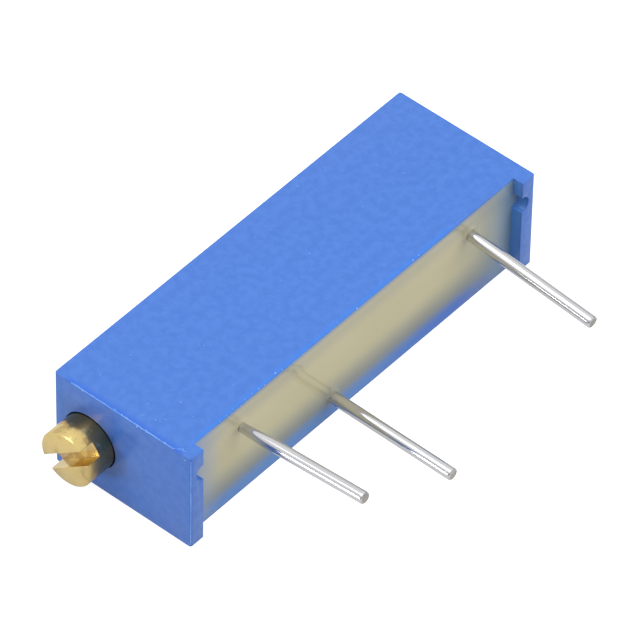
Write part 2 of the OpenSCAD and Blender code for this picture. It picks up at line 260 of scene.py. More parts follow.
class EffectGroups:
    """The node groups of the effects, each built once at its first use."""

    def __init__(self) -> None:
        """Starts with no group built."""
        self.built: dict[Effect, bpy.types.NodeTree] = {}
        self.recipes: dict[Effect, Callable[[Graph, object], Socket]] = {
            Effect.MOTTLE: self._mottle,
            Effect.GRAIN: self._grain,
            Effect.STREAKS: self._streaks,
            Effect.SPECKS: self._specks,
        }

    def lay(self, graph: Graph, effect: Effect, place: Socket, *values: float) -> Socket:
        """Lays an effect in a material.

        Args:
            graph: The material's graph.
            effect: The effect.
            place: Object coordinates.
            values: Its number inputs, in the order that the effect names them.

        Returns:
            The effect's output.
        """
        _, inputs, output = effect.value
        if effect not in self.built:
            self.built[effect] = self._build(effect)
        given = {"Vector": place, **dict(zip(inputs, values))}
        return graph.add("ShaderNodeGroup", {"node_tree": self.built[effect]}, given).outputs[output]

    def _build(self, effect: Effect) -> bpy.types.NodeTree:
        """Builds the group of an effect.

        Args:
            effect: The effect.

        Returns:
            The group's tree.
        """
        name, inputs, output = effect.value
        tree = bpy.data.node_groups.new(name, "ShaderNodeTree")
        tree.interface.new_socket(name="Vector", in_out="INPUT", socket_type="NodeSocketVector")
        for label in inputs:
            tree.interface.new_socket(name=label, in_out="INPUT", socket_type="NodeSocketFloat")
        tree.interface.new_socket(name=output, in_out="OUTPUT", socket_type="NodeSocketFloat")
        graph = Graph(tree)
        given, out = graph.add("NodeGroupInput"), graph.add("NodeGroupOutput")
        graph.feed(out.inputs[output], self.recipes[effect](graph, given.outputs))
        return tree

    @staticmethod
    def _mottle(graph: Graph, given: object) -> Socket:
        """Lays the cloudy variation of a moulded, cast or plated surface."""
        clouds = graph.noise(given["Vector"], given["Scale"], given["Detail"])
        return graph.ramp(clouds.outputs[0], 0.32, 0.68)

    @staticmethod
    def _grain(graph: Graph, given: object) -> Socket:
        """Lays the pebbled height of an eroded mould face.

        Args:
            graph: The group's graph.
            given: Its inputs.

        Returns:
            The height.
        """
        pebbles = graph.add(
            "ShaderNodeTexVoronoi",
            {"feature": "SMOOTH_F1"},
            {"Vector": given["Vector"], "Scale": given["Scale"], "Smoothness": 0.8},
        )
        dust = graph.noise(given["Vector"], graph.product(given["Scale"], 2.3), 4.0)
        return graph.math("SUBTRACT", graph.product(dust.outputs[0], given["Fine"]), pebbles.outputs["Distance"])

    @staticmethod
    def _streaks(graph: Graph, given: object) -> Socket:
        """Lays fine lines left by drawing, rolling or turning, from coordinates squeezed along them.

        Args:
            graph: The group's graph.
            given: Its inputs.

        Returns:
            The height.
        """
        apart = graph.add("ShaderNodeSeparateXYZ", None, {0: given["Vector"]})
        scaled = {}
        for number in range(3):
            here = graph.add(
                "ShaderNodeMath", {"operation": "COMPARE"}, {0: given["Which"], 1: float(number), 2: 0.1}
            ).outputs[0]
            reach = graph.math("SUBTRACT", given["Along"], given["Across"])
            scale = graph.math("ADD", given["Across"], graph.product(here, reach))
            scaled[number] = graph.product(apart.outputs[number], scale)
        squeezed = graph.add("ShaderNodeCombineXYZ", None, scaled)
        return graph.noise(squeezed.outputs[0], 1.0, 2.0).outputs[0]

    @staticmethod
    def _specks(graph: Graph, given: object) -> Socket:
        """Lays a mask of small scattered dots, such as bubbles, filler or dust.

        Args:
            graph: The group's graph.
            given: Its inputs.

        Returns:
            The mask.
        """
        cells = graph.add("ShaderNodeTexVoronoi", None, {"Vector": given["Vector"], "Scale": given["Scale"]})
        lot = graph.add("ShaderNodeSeparateColor", None, {0: cells.outputs["Color"]})
        near = graph.math("LESS_THAN", cells.outputs["Distance"], given["Size"])
        return graph.product(near, graph.math("LESS_THAN", lot.outputs[0], given["Share"]))


EFFECTS = EffectGroups()


@dataclass(frozen=True)
class Finish:
    """A procedural finish. Lengths in its fields are scales per metre or depths in metres."""

    name: str
    base: Colour
    shade: Colour
    roughness: Span = (0.4, 0.5)
    metallic: float = 0.0
    specular: float = 0.5
    cloud_scale: float = 700.0
    cloud_detail: float = 3.0
    grain_scale: float = 9000.0
    grain_fine: float = 0.4
    grain_depth: float = 2e-6
    coat: float = 0.0
    coat_roughness: float = 0.06

    def colour(self, graph: Graph, place: Socket, cloud: Socket) -> Socket:
        """Mixes the two tones by the cloudy mask."""
        return graph.mix(cloud, self.base, self.shade)

    def height(self, graph: Graph, place: Socket) -> Socket:
        """Lays the pebbled height for the bump."""
        return EFFECTS.lay(graph, Effect.GRAIN, place, self.grain_scale, self.grain_fine)

    def rough(self, graph: Graph, place: Socket, cloud: Socket) -> Socket:
        """Spreads the roughness by the cloudy mask."""
        return graph.ramp(cloud, 0.0, 1.0, *self.roughness)

    def build(self) -> bpy.types.Material:
        """Builds the material, or finds it if it was built before.

        Returns:
            The material.
        """
        if self.name in bpy.data.materials:
            return bpy.data.materials[self.name]
        material = bpy.data.materials.new(self.name)
        material.use_nodes = True
        graph = Graph(material.node_tree)
        graph.tree.nodes.clear()
        place = graph.add("ShaderNodeTexCoord").outputs["Object"]
        cloud = EFFECTS.lay(graph, Effect.MOTTLE, place, self.cloud_scale, self.cloud_detail)
        relief = {"Strength": 1.0, "Distance": self.grain_depth, "Height": self.height(graph, place)}
        inputs = {
            "Base Color": self.colour(graph, place, cloud),
            "Roughness": self.rough(graph, place, cloud),
            "Metallic": self.metallic,
            "Specular IOR Level": self.specular,
            "Coat Weight": self.coat,
            "Coat Roughness": self.coat_roughness,
            "Normal": graph.add("ShaderNodeBump", None, relief).outputs[0],
        }
        shader = graph.add("ShaderNodeBsdfPrincipled", None, inputs)
        graph.add("ShaderNodeOutputMaterial", None, {0: shader.outputs[0]})
        return material


@dataclass(frozen=True)
class MouldedFinish(Finish):
    """Coloured moulding compound with pale filler specks."""

    speck: Colour = (0.35, 0.55, 0.95)
    speck_scale: float = 2600.0
    speck_size: float = 0.07
    speck_share: float = 0.12
    speck_cover: float = 0.35

    def colour(self, graph: Graph, place: Socket, cloud: Socket) -> Socket:
        """Adds specks to the mottled colour.

        Args:
            graph: The material's graph.
            place: Object coordinates.
            cloud: The cloudy mask.

        Returns:
            The colour socket.
        """
        body = super().colour(graph, place, cloud)
        mask = EFFECTS.lay(graph, Effect.SPECKS, place, self.speck_scale, self.speck_size, self.speck_share)
        return graph.mix(graph.product(mask, self.speck_cover), body, self.speck)


@dataclass(frozen=True)
class LinedFinish(Finish):
    """Metal with fine lines along one axis, in clear and stained patches."""

    stain: Colour = (0.1, 0.08, 0.04)
    stain_scale: float = 900.0
    stain_share: float = 0.35
    stain_step: Span = (0.52, 0.7)
    along: Axis = Axis.Y
    line_scale: float = 26000.0
    line_stretch: float = 500.0

    def colour(self, graph: Graph, place: Socket, cloud: Socket) -> Socket:
        """Adds stained patches to the metal's colour.

        Args:
            graph: The material's graph.
            place: Object coordinates.
            cloud: The cloudy mask.

        Returns:
            The colour socket.
        """
        metal = super().colour(graph, place, cloud)
        spread = graph.noise(place, self.stain_scale, 5.0, Roughness=0.65)
        return graph.mix(graph.ramp(spread.outputs[0], *self.stain_step, 0.0, self.stain_share), metal, self.stain)

    def height(self, graph: Graph, place: Socket) -> Socket:
        """Lays the drawn or turned lines for the bump."""
        scales = (self.line_scale, self.line_stretch, float(self.along.value))
        return EFFECTS.lay(graph, Effect.STREAKS, place, *scales)


@dataclass(frozen=True)
class BodyFinish(MouldedFinish):
    """The box's moulding compound: other tones along two upper edges, the one by the rim a painted edge highlight, wet
    with epoxy inside the far foot.

    Widths, spans, steps and softnesses are in millimetres of the body.
    """

    # clear: a painted highlight along the upper broad side's edge next to the rim
    clear: Colour = linear(48, 126, 228)
    dense: Colour = linear(30, 100, 214)
    end_width: float = 0.34
    end_span: Span = (0.7, 5.7)
    end_soft: float = 0.4
    rim_width: float = 0.3
    rim_span: Span = (1.2, 14.5)
    rim_soft: float = 1.0
    edge_share: float = 0.75
    top_step: Span = (0.06, 0.01)
    wet: Colour = linear(84, 146, 222)
    wet_share: float = 0.6
    wet_lap: float = 0.05
    wet_inset: float = 0.08
    wet_depth: Span = (0.1, 1.4)
    wet_soft: Point = (0.03, 0.08, 0.04)

    def colour(self, graph: Graph, place: Socket, cloud: Socket) -> Socket:
        """Lays the tones along two edges, the painted highlight by the rim among them, and the wet tone inside the far
        foot.

        Args:
            graph: The material's graph.
            place: Object coordinates.
            cloud: The cloudy mask.

        Returns:
            The colour socket.
        """
        body = super().colour(graph, place, cloud)
        along, deep, high = graph.body_place(place)
        rim, width = SIZES.rim_recess, SIZES.width
        on_top = graph.ramp(high, *(width - step for step in self.top_step), 0.0, self.edge_share)
        # painted edge highlight along the rim, in the clear tone, on the upper broad side
        rim_highlight = graph.ramp(deep, rim, rim + self.rim_width, 1.0, 0.0)
        by_end = graph.ramp(along, 0.0, self.end_width, 1.0, 0.0)
        rim_highlight = graph.product(rim_highlight, graph.within(along, *self.rim_span, self.rim_soft), on_top)
        by_end = graph.product(by_end, graph.within(deep, *self.end_span, self.end_soft), on_top)
        body = graph.mix(by_end, graph.mix(rim_highlight, body, self.clear), self.dense)
        wall = SIZES.length - SIZES.end_wall
        inside = graph.product(
            graph.within(along, wall - self.wet_lap, wall + SIZES.groove_radius, self.wet_soft[0]),
            graph.within(high, self.wet_inset, width - self.wet_inset, self.wet_soft[2]),
            graph.within(deep, *self.wet_depth, self.wet_soft[1]),
            self.wet_share,
        )
        return graph.mix(inside, body, self.wet)


@dataclass(frozen=True)
class EpoxyFinish(Finish):
    """Cast epoxy through which the moulded walls show where the layer over them is thin.

    The steps are pairs of distances in millimetres between which one colour gives way to the next.
    """

    film: Colour = linear(72, 134, 210)
    film_far: Colour = linear(10, 104, 214)
    film_far_step: Span = (7.0, 16.0)
    veil: Colour = linear(126, 135, 136)
    film_step: Span = (0.3, 1.0)
    veil_step: Span = (0.6, 2.3)
    upper: Colour = linear(170, 167, 148)
    upper_step: Span = (3.2, 4.15)
    upper_share: float = 0.55
    edge: Colour = linear(86, 134, 194)
    edge_step: Span = (4.27, 4.66)
    pale: Colour = linear(134, 156, 192)
    near_step: Span = (0.0, 1.8)
    near_share: float = 0.8
    far_veil_step: Span = (1.2, 3.6)
    far_veil_share: float = 0.6
    deep: Colour = linear(116, 144, 168)
    far_step: Span = (0.0, 1.9)
    far_share: float = 0.95
    dull_span: Span = (15.0, 17.4)
    dull: float = 0.3

    def colour(self, graph: Graph, place: Socket, cloud: Socket) -> Socket:
        """Lays the colours across the opening, then the walls that show at both ends.

        Args:
            graph: The material's graph.
            place: Object coordinates.
            cloud: The cloudy mask.

        Returns:
            The colour socket.
        """
        along, _, up = graph.body_place(place)
        from_near = graph.math("SUBTRACT", along, SIZES.end_wall)
        from_far = graph.math("SUBTRACT", SIZES.length - SIZES.end_wall, along)
        middle = super().colour(graph, place, cloud)
        film = graph.mix(graph.ramp(from_near, *self.film_far_step), self.film, self.film_far)
        tone = graph.mix(graph.ramp(up, *self.film_step), film, self.veil)
        for share, colour in (
            (graph.ramp(up, *self.veil_step), middle),
            (graph.ramp(up, *self.upper_step, 0.0, self.upper_share), self.upper),
            (graph.ramp(up, *self.edge_step), self.edge),
            (graph.ramp(from_near, *self.near_step, self.near_share, 0.0), self.pale),
            (graph.ramp(from_far, *self.far_veil_step, self.far_veil_share, 0.0), self.veil),
            (graph.ramp(from_far, *self.far_step, self.far_share, 0.0), self.deep),
        ):
            tone = graph.mix(share, tone, colour)
        return tone

    def rough(self, graph: Graph, place: Socket, cloud: Socket) -> Socket:
        """Lays the roughness: glossy, and duller towards the far wall."""
        dull = graph.ramp(graph.body_place(place)[0], *self.dull_span, 0.0, self.dull)
        return graph.math("ADD", super().rough(graph, place, cloud), dull)


@dataclass(frozen=True)
class BrassFinish(LinedFinish):
    """Turned brass: fine rings, tarnished metal with painted shade round the root of the head, painted shade on the
    head's side towards the feet, a paler milled slot.

    Distances are in millimetres out of the body's end face, or from the screw's axis.
    """

    # darker tone round the head's root: partly tarnished metal, partly painted shade where the head meets the box
    tarnish_and_shade: Colour = (0.42, 0.23, 0.07)
    tarnish_shade_step: Span = (0.52, 1.0)
    tarnish_shade_share: float = 0.85
    drift: float = 2.3
    drift_scale: float = 2300.0
    mouth_step: Span = (-0.4, -0.2)
    # painted shade: a darker tone on the head's side towards the feet
    painted_flank_shade: Colour = (0.44, 0.3, 0.13)
    flank_shade_step: Span = (-0.8, -0.35)
    flank_shade_share: float = 0.85
    side_step: Span = (1.13, 1.16)
    face_step: Span = (1.1, 1.2)
    face_share: float = 0.3
    milled: Colour = (0.84, 0.68, 0.34)
    slot_turn: float = 38.0
    slot_step: Span = (0.302, 0.306)
    floor_step: Span = (0.65, 0.73)
    ring_scale: float = 14000.0
    dent_scale: float = 3200.0
    dent_height: float = 1.6

    def _parts(self, graph: Graph, place: Socket) -> list[Socket]:
        """Splits a place into its distances from the screw's axis and from the end face.

        Args:
            graph: The material's graph.
            place: Object coordinates.

        Returns:
            How far it stands out, the two distances across the axis and the radius, in millimetres.
        """
        apart = graph.add("ShaderNodeSeparateXYZ", None, {0: place})
        centre = SIZES.row(0, SIZES.screw_y, SIZES.screw_z)
        out, side, rise = (
            graph.math("DIVIDE", graph.math("SUBTRACT", apart.outputs[i], centre[i]), scale)
            for i, scale in enumerate((-MM, MM, MM))
        )
        squares = graph.math("ADD", graph.product(side, side), graph.product(rise, rise))
        return [out, side, rise, graph.math("SQRT", squares)]

    def colour(self, graph: Graph, place: Socket, cloud: Socket) -> Socket:
        """Adds the tarnished metal with painted shade round the root, the painted shade on the head's side towards the
        feet and the slot's paler metal.

        Args:
            graph: The material's graph.
            place: Object coordinates.
            cloud: The cloudy mask.

        Returns:
            The colour socket.
        """
        metal = super().colour(graph, place, cloud)
        out, side, rise, radius = self._parts(graph, place)
        uneven = graph.noise(place, self.drift_scale, 2.5)
        drift = graph.product(graph.math("SUBTRACT", uneven.outputs[0], 0.5), self.drift)
        outside = graph.ramp(out, *self.mouth_step)
        # tarnished metal with painted shade round the head's root
        root = graph.ramp(graph.math("ADD", out, drift), *self.tarnish_shade_step, self.tarnish_shade_share, 0.0)
        metal = graph.mix(graph.product(root, outside), metal, self.tarnish_and_shade)
        # painted shade on the head's side towards the feet
        painted_flank_shade = graph.product(
            graph.ramp(graph.math("ADD", side, drift), *self.flank_shade_step, self.flank_shade_share, 0.0),
            graph.ramp(radius, *self.side_step),
            outside,
            graph.ramp(out, *self.face_step, 1.0, self.face_share),
        )
        metal = graph.mix(painted_flank_shade, metal, self.painted_flank_shade)
        turn = math.radians(self.slot_turn)
        across = graph.math("ADD", graph.product(side, math.sin(turn)), graph.product(rise, math.cos(turn)))
        in_slot = graph.ramp(graph.math("ABSOLUTE", across), *self.slot_step, 1.0, 0.0)
        return graph.mix(graph.product(in_slot, graph.ramp(out, *self.floor_step)), metal, self.milled)

    def height(self, graph: Graph, place: Socket) -> Socket:
        """Lays rings round the screw's axis, on its sides and its faces, with shallow dents.

        Args:
            graph: The material's graph.
            place: Object coordinates.

        Returns:
            The height socket.
        """
        out, _, _, radius = self._parts(graph, place)
        polar = graph.add("ShaderNodeCombineXYZ", None, {0: out, 1: radius})
        rings = graph.noise(polar.outputs[0], self.ring_scale * MM, 2.0)
        dents = graph.noise(place, self.dent_scale, 2.0)
        return graph.math("ADD", rings.outputs[0], graph.product(dents.outputs[0], self.dent_height))


# Values that several metal finishes share
METAL = {"metallic": 1.0}


@dataclass(frozen=True)
class FinishBook:
    """Every finish on the part, by the piece that wears it."""

    moulding: Finish = BodyFinish(
        "moulded_blue",
        linear(72, 123, 211),
        linear(64, 116, 205),
        roughness=(0.19, 0.25),
        cloud_scale=2800.0,
        grain_depth=3e-6,
    )
    flash: Finish = MouldedFinish(
        "moulding_flash", linear(128, 180, 249), linear(100, 156, 242), speck=linear(215, 230, 255), speck_share=0.5
    )
    speck: Finish = MouldedFinish(
        "pale_speck", linear(158, 194, 249), linear(126, 172, 245), speck=linear(205, 222, 250)
    )
    epoxy: Finish = EpoxyFinish(
        "potting_epoxy",
        linear(201, 193, 152),
        linear(197, 189, 147),
        roughness=(0.07, 0.11),
        specular=0.9,
        cloud_scale=200.0,
        cloud_detail=1.0,
        grain_scale=900.0,
        grain_depth=2e-7,
    )
    epoxy_wick: Finish = Finish(
        "epoxy_on_wire",
        linear(146, 142, 120),
        linear(168, 163, 140),
        roughness=(0.12, 0.2),
        cloud_scale=1500.0,
        grain_scale=2500.0,
        grain_depth=8e-7,
        coat=0.4,
    )
    brass: Finish = BrassFinish(
        "turned_brass",
        (0.78, 0.6, 0.25),
        (0.66, 0.5, 0.205),
        roughness=(0.18, 0.3),
        stain=(0.16, 0.12, 0.05),
        grain_depth=1.4e-6,
        **METAL,
    )
    tin: Finish = LinedFinish(
        "tinned_wire",
        (0.84, 0.83, 0.81),
        (0.76, 0.75, 0.73),
        roughness=(0.07, 0.15),
        stain=(0.5, 0.48, 0.44),
        stain_share=0.16,
        line_scale=16000.0,
        line_stretch=300.0,
        grain_depth=1.4e-6,
        **METAL,
    )
    cut: Finish = LinedFinish(
        "cut_wire_end",
        (0.52, 0.5, 0.46),
        (0.36, 0.34, 0.31),
        roughness=(0.3, 0.45),
        metallic=0.9,
        stain=(0.3, 0.2, 0.13),
        along=Axis.X,
        line_scale=22000.0,
        line_stretch=1500.0,
    )
    solder: Finish = Finish(
        "solder_joint",
        (0.72, 0.72, 0.73),
        (0.6, 0.6, 0.61),
        roughness=(0.16, 0.3),
        cloud_scale=4000.0,
        grain_scale=12000.0,
        grain_depth=8e-7,
        **METAL,
    )
    rubber: Finish = Finish(
        "seal_rubber", (0.018, 0.018, 0.02), (0.03, 0.03, 0.032), roughness=(0.6, 0.75), grain_scale=15000.0
    )
    steel: Finish = LinedFinish(
        "clip_steel",
        (0.56, 0.56, 0.57),
        (0.45, 0.45, 0.46),
        roughness=(0.25, 0.38),
        stain=(0.25, 0.22, 0.2),
        grain_depth=1e-6,
        **METAL,
    )
    ivory: Finish = MouldedFinish(
        "carriage_moulding", (0.72, 0.69, 0.58), (0.65, 0.62, 0.52), roughness=(0.45, 0.55), speck=(0.85, 0.83, 0.75)
    )
    spring: Finish = LinedFinish(
        "wiper_spring",
        (0.83, 0.66, 0.36),
        (0.74, 0.56, 0.28),
        roughness=(0.2, 0.32),
        stain=(0.4, 0.28, 0.12),
        stain_share=0.2,
        along=Axis.X,
        grain_depth=6e-7,
        **METAL,
    )
    alumina: Finish = Finish(
        "fired_alumina", (0.8, 0.8, 0.78), (0.72, 0.72, 0.7), roughness=(0.5, 0.65), grain_scale=16000.0
    )
    cermet: Finish = Finish(
        "resistive_film",
        (0.03, 0.032, 0.035),
        (0.055, 0.055, 0.06),
        roughness=(0.25, 0.4),
        cloud_scale=3000.0,
        grain_scale=22000.0,
        grain_depth=1e-6,
    )
    conductor: Finish = Finish(
        "conductor_film",
        (0.66, 0.65, 0.62),
        (0.54, 0.53, 0.5),
        roughness=(0.3, 0.45),
        cloud_scale=3000.0,
        grain_scale=20000.0,
        grain_depth=1e-6,
        **METAL,
    )


BOOK = FinishBook()


# Meshes


def link(thing: Piece) -> Piece:
    """Puts an object in the scene and returns it."""
    bpy.context.scene.collection.objects.link(thing)
    return thing


def make_object(name: str, vertices: Iterable[Sequence[float]], faces: Iterable[Sequence[int]]) -> Piece:
    """Makes an object from points and faces, with outward normals.

    Args:
        name: The piece's name.
        vertices: Its points, in metres.
        faces: Its faces.

    Returns:
        The object.
    """
    mesh = bpy.data.meshes.new(name)
    mesh.from_pydata([tuple(v) for v in vertices], [], [tuple(f) for f in faces])
    shell = bmesh.new()
    shell.from_mesh(mesh)
    bmesh.ops.remove_doubles(shell, verts=shell.verts, dist=1e-8)
    bmesh.ops.recalc_face_normals(shell, faces=shell.faces)
    shell.to_mesh(mesh)
    shell.free()
    return link(bpy.data.objects.new(name, mesh))


def merged_copy(node: str, name: str) -> Piece:
    """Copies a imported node's mesh, with its doubled points merged and its flat faces joined.

    Args:
        node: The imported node.
        name: The copy's name.

    Returns:
        The copy.
    """
    mesh = bpy.data.objects[node].data.copy()
    mesh.name = name
    shell = bmesh.new()
    shell.from_mesh(mesh)
    bmesh.ops.remove_doubles(shell, verts=shell.verts, dist=2e-7)
    bmesh.ops.dissolve_limit(shell, angle_limit=math.radians(0.6), verts=shell.verts, edges=shell.edges)
    shell.to_mesh(mesh)
    shell.free()
    mesh.materials.clear()
    return link(bpy.data.objects.new(name, mesh))


def point_mesh(points: Iterable[Vector], edges: Sequence[tuple[int, int]] = ()) -> bpy.types.Mesh:
    """Makes a mesh of points and edges only, for a recipe to work on.

    Args:
        points: The points.
        edges: The edges that join them.

    Returns:
        The mesh.
    """
    mesh = bpy.data.meshes.new("path")
    mesh.from_pydata([tuple(p) for p in points], list(edges), [])
    return mesh


def path_mesh(points: Sequence[Vector], closed: bool = False) -> bpy.types.Mesh:
    """Makes a mesh of edges that follow each other, and closes it where asked."""
    count = len(points)
    return point_mesh(points, [(i, (i + 1) % count) for i in range(count if closed else count - 1)])


def tube_faces(rings: int, count: int, start: int = 0) -> list[tuple[int, ...]]:
    """Joins rings of points into a tube.

    Args:
        rings: How many rings there are.
        count: How many points each ring has.
        start: The first ring's first point.

    Returns:
        The faces.
    """
    faces = []
    for first in range(start, start + (rings - 1) * count, count):
        for k in range(count):
            a, b = first + k, first + (k + 1) % count
            faces.append((a, b, b + count, a + count))
    return faces


def smooth(thing: Piece, angle: float = 30.0) -> None:
    """Shades an object smooth, with edges sharper than the angle kept.

    Args:
        thing: The object.
        angle: The angle, in degrees.
    """
    mesh = thing.data
    mesh.polygons.foreach_set("use_smooth", [True] * len(mesh.polygons))
    mesh.set_sharp_from_angle(angle=math.radians(angle))
    mesh.update()


def plain_mesh(thing: Piece) -> bpy.types.Mesh:
    """Returns an object's mesh with its modifiers applied.

    Args:
        thing: The object.

    Returns:
        The new mesh.
    """
    graph = bpy.context.evaluated_depsgraph_get()
    graph.update()
    return bpy.data.meshes.new_from_object(thing.evaluated_get(graph), preserve_all_data_layers=True, depsgraph=graph)


def settle(thing: Piece) -> None:
    """Turns an object's modifiers into plain mesh and takes them off."""
    made = plain_mesh(thing)
    thing.modifiers.clear()
    thing.data = made


def dress(thing: Piece, *finishes: Finish) -> None:
    """Gives an object its finishes, one for each material slot.

    Args:
        thing: The object.
        finishes: The finishes in slot order.
    """
    thing.data.materials.clear()
    for finish in finishes:
        thing.data.materials.append(finish.build())


def place_piece(thing: Piece, body: Body, slot: Slot, *nodes: str) -> Piece:
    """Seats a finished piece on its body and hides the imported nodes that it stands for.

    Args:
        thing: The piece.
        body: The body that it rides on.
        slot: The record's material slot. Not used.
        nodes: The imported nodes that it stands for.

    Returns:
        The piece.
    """
    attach(thing, body.value)
    if nodes:
        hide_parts(*nodes)
    return thing


# Geometry node recipes


class Kind(str, Enum):
    """The kind of a recipe's input."""

    GEOMETRY = "NodeSocketGeometry"
    NUMBER = "NodeSocketFloat"
    WHOLE = "NodeSocketInt"
    PLACE = "NodeSocketVector"
    FINISH = "NodeSocketMaterial"


class Recipe:
    """A geometry node tree with named inputs."""

    def __init__(self, name: str, inputs: dict[Kind, Sequence[str]]) -> None:
        """Makes the tree and its sockets.

        Args:
            name: The tree's name.
            inputs: The names of its inputs by kind, besides the geometry and the finish.
        """
        self.tree = bpy.data.node_groups.new(name, "GeometryNodeTree")
        self.graph = Graph(self.tree)
        self.keys: dict[str, str] = {}
        for kind, labels in {Kind.GEOMETRY: ("Geometry",), **inputs, Kind.FINISH: ("Finish",)}.items():
            for label in labels:
                made = self.tree.interface.new_socket(name=label, in_out="INPUT", socket_type=kind.value)
                self.keys[label] = made.identifier
        self.tree.interface.new_socket(name="Geometry", in_out="OUTPUT", socket_type=Kind.GEOMETRY.value)
        self.given = self.graph.add("NodeGroupInput").outputs
        self.out = self.graph.add("NodeGroupOutput")

    def close(self, geometry: Socket) -> None:
        """Ends the tree with real geometry that wears its finish.

        Args:
            geometry: What the tree made.
        """
        real = self.graph.add("GeometryNodeRealizeInstances", None, {0: geometry}).outputs[0]
        given = {"Geometry": real, "Material": self.given["Finish"]}
        self.graph.feed(self.out.inputs[0], self.graph.add("GeometryNodeSetMaterial", None, given).outputs[0])

    def curve(self) -> Socket:
        """Returns the given mesh as a curve."""
        return self.graph.add("GeometryNodeMeshToCurve", None, {0: self.given["Geometry"]}).outputs[0]

    def moved(self, geometry: Socket, way: Socket, scale: object) -> Socket:
        """Moves every point along a vector.

        Args:
            geometry: The geometry.
            way: The vector at each point.
            scale: How much of the vector is taken.

        Returns:
            The moved geometry.
        """
        move = self.graph.add("ShaderNodeVectorMath", {"operation": "SCALE"}, {0: way, "Scale": scale}).outputs[0]
        return self.graph.add("GeometryNodeSetPosition", None, {"Geometry": geometry, "Offset": move}).outputs[0]

    def random_vector(self, low: float, high: float) -> Socket:
        """Returns a random vector with each part between two numbers, from the seed that is given."""
        inputs = {0: (low,) * 3, 1: (high,) * 3, "Seed": self.given["Seed"]}
        return self.graph.add("FunctionNodeRandomValue", {"data_type": "FLOAT_VECTOR"}, inputs).outputs[0]

    def crumbs(self, points: Socket) -> Socket:
        """Sets small crumbs of random size and turn on points.

        Args:
            points: The points.

        Returns:
            The instances.
        """
        graph, given = self.graph, self.given
        ball = graph.add("GeometryNodeMeshIcoSphere", None, {"Radius": 1.0, "Subdivisions": 2}).outputs[0]
        place = graph.add("GeometryNodeInputPosition").outputs[0]
        lumpy = self.moved(ball, graph.noise(place, 1.4, 1.0).outputs[1], 0.9)
        limits = {2: given["Smallest"], 3: given["Largest"], "Seed": given["Seed"]}
        size = graph.add("FunctionNodeRandomValue", {"data_type": "FLOAT"}, limits).outputs[1]
        inputs = {"Points": points, "Instance": lumpy, "Rotation": self.random_vector(0.0, 6.28), "Scale": size}
        return graph.add("GeometryNodeInstanceOnPoints", None, inputs).outputs[0]

    def grow(self, name: str, base: bpy.types.Mesh, values: dict[str, object]) -> Piece:
        """Runs the tree on a mesh and returns the result as a plain object.

        Args:
            name: The result's name.
            base: The mesh that the tree works on.
            values: The value of each named input.

        Returns:
            The object.
        """
        carrier = link(bpy.data.objects.new(name + "_base", base))
        modifier = carrier.modifiers.new("recipe", "NODES")
        modifier.node_group = self.tree
        for label, value in values.items():
            modifier[self.keys[label]] = value
        made = plain_mesh(carrier)
        bpy.data.objects.remove(carrier)
        made.name = name
        return link(bpy.data.objects.new(name, made))


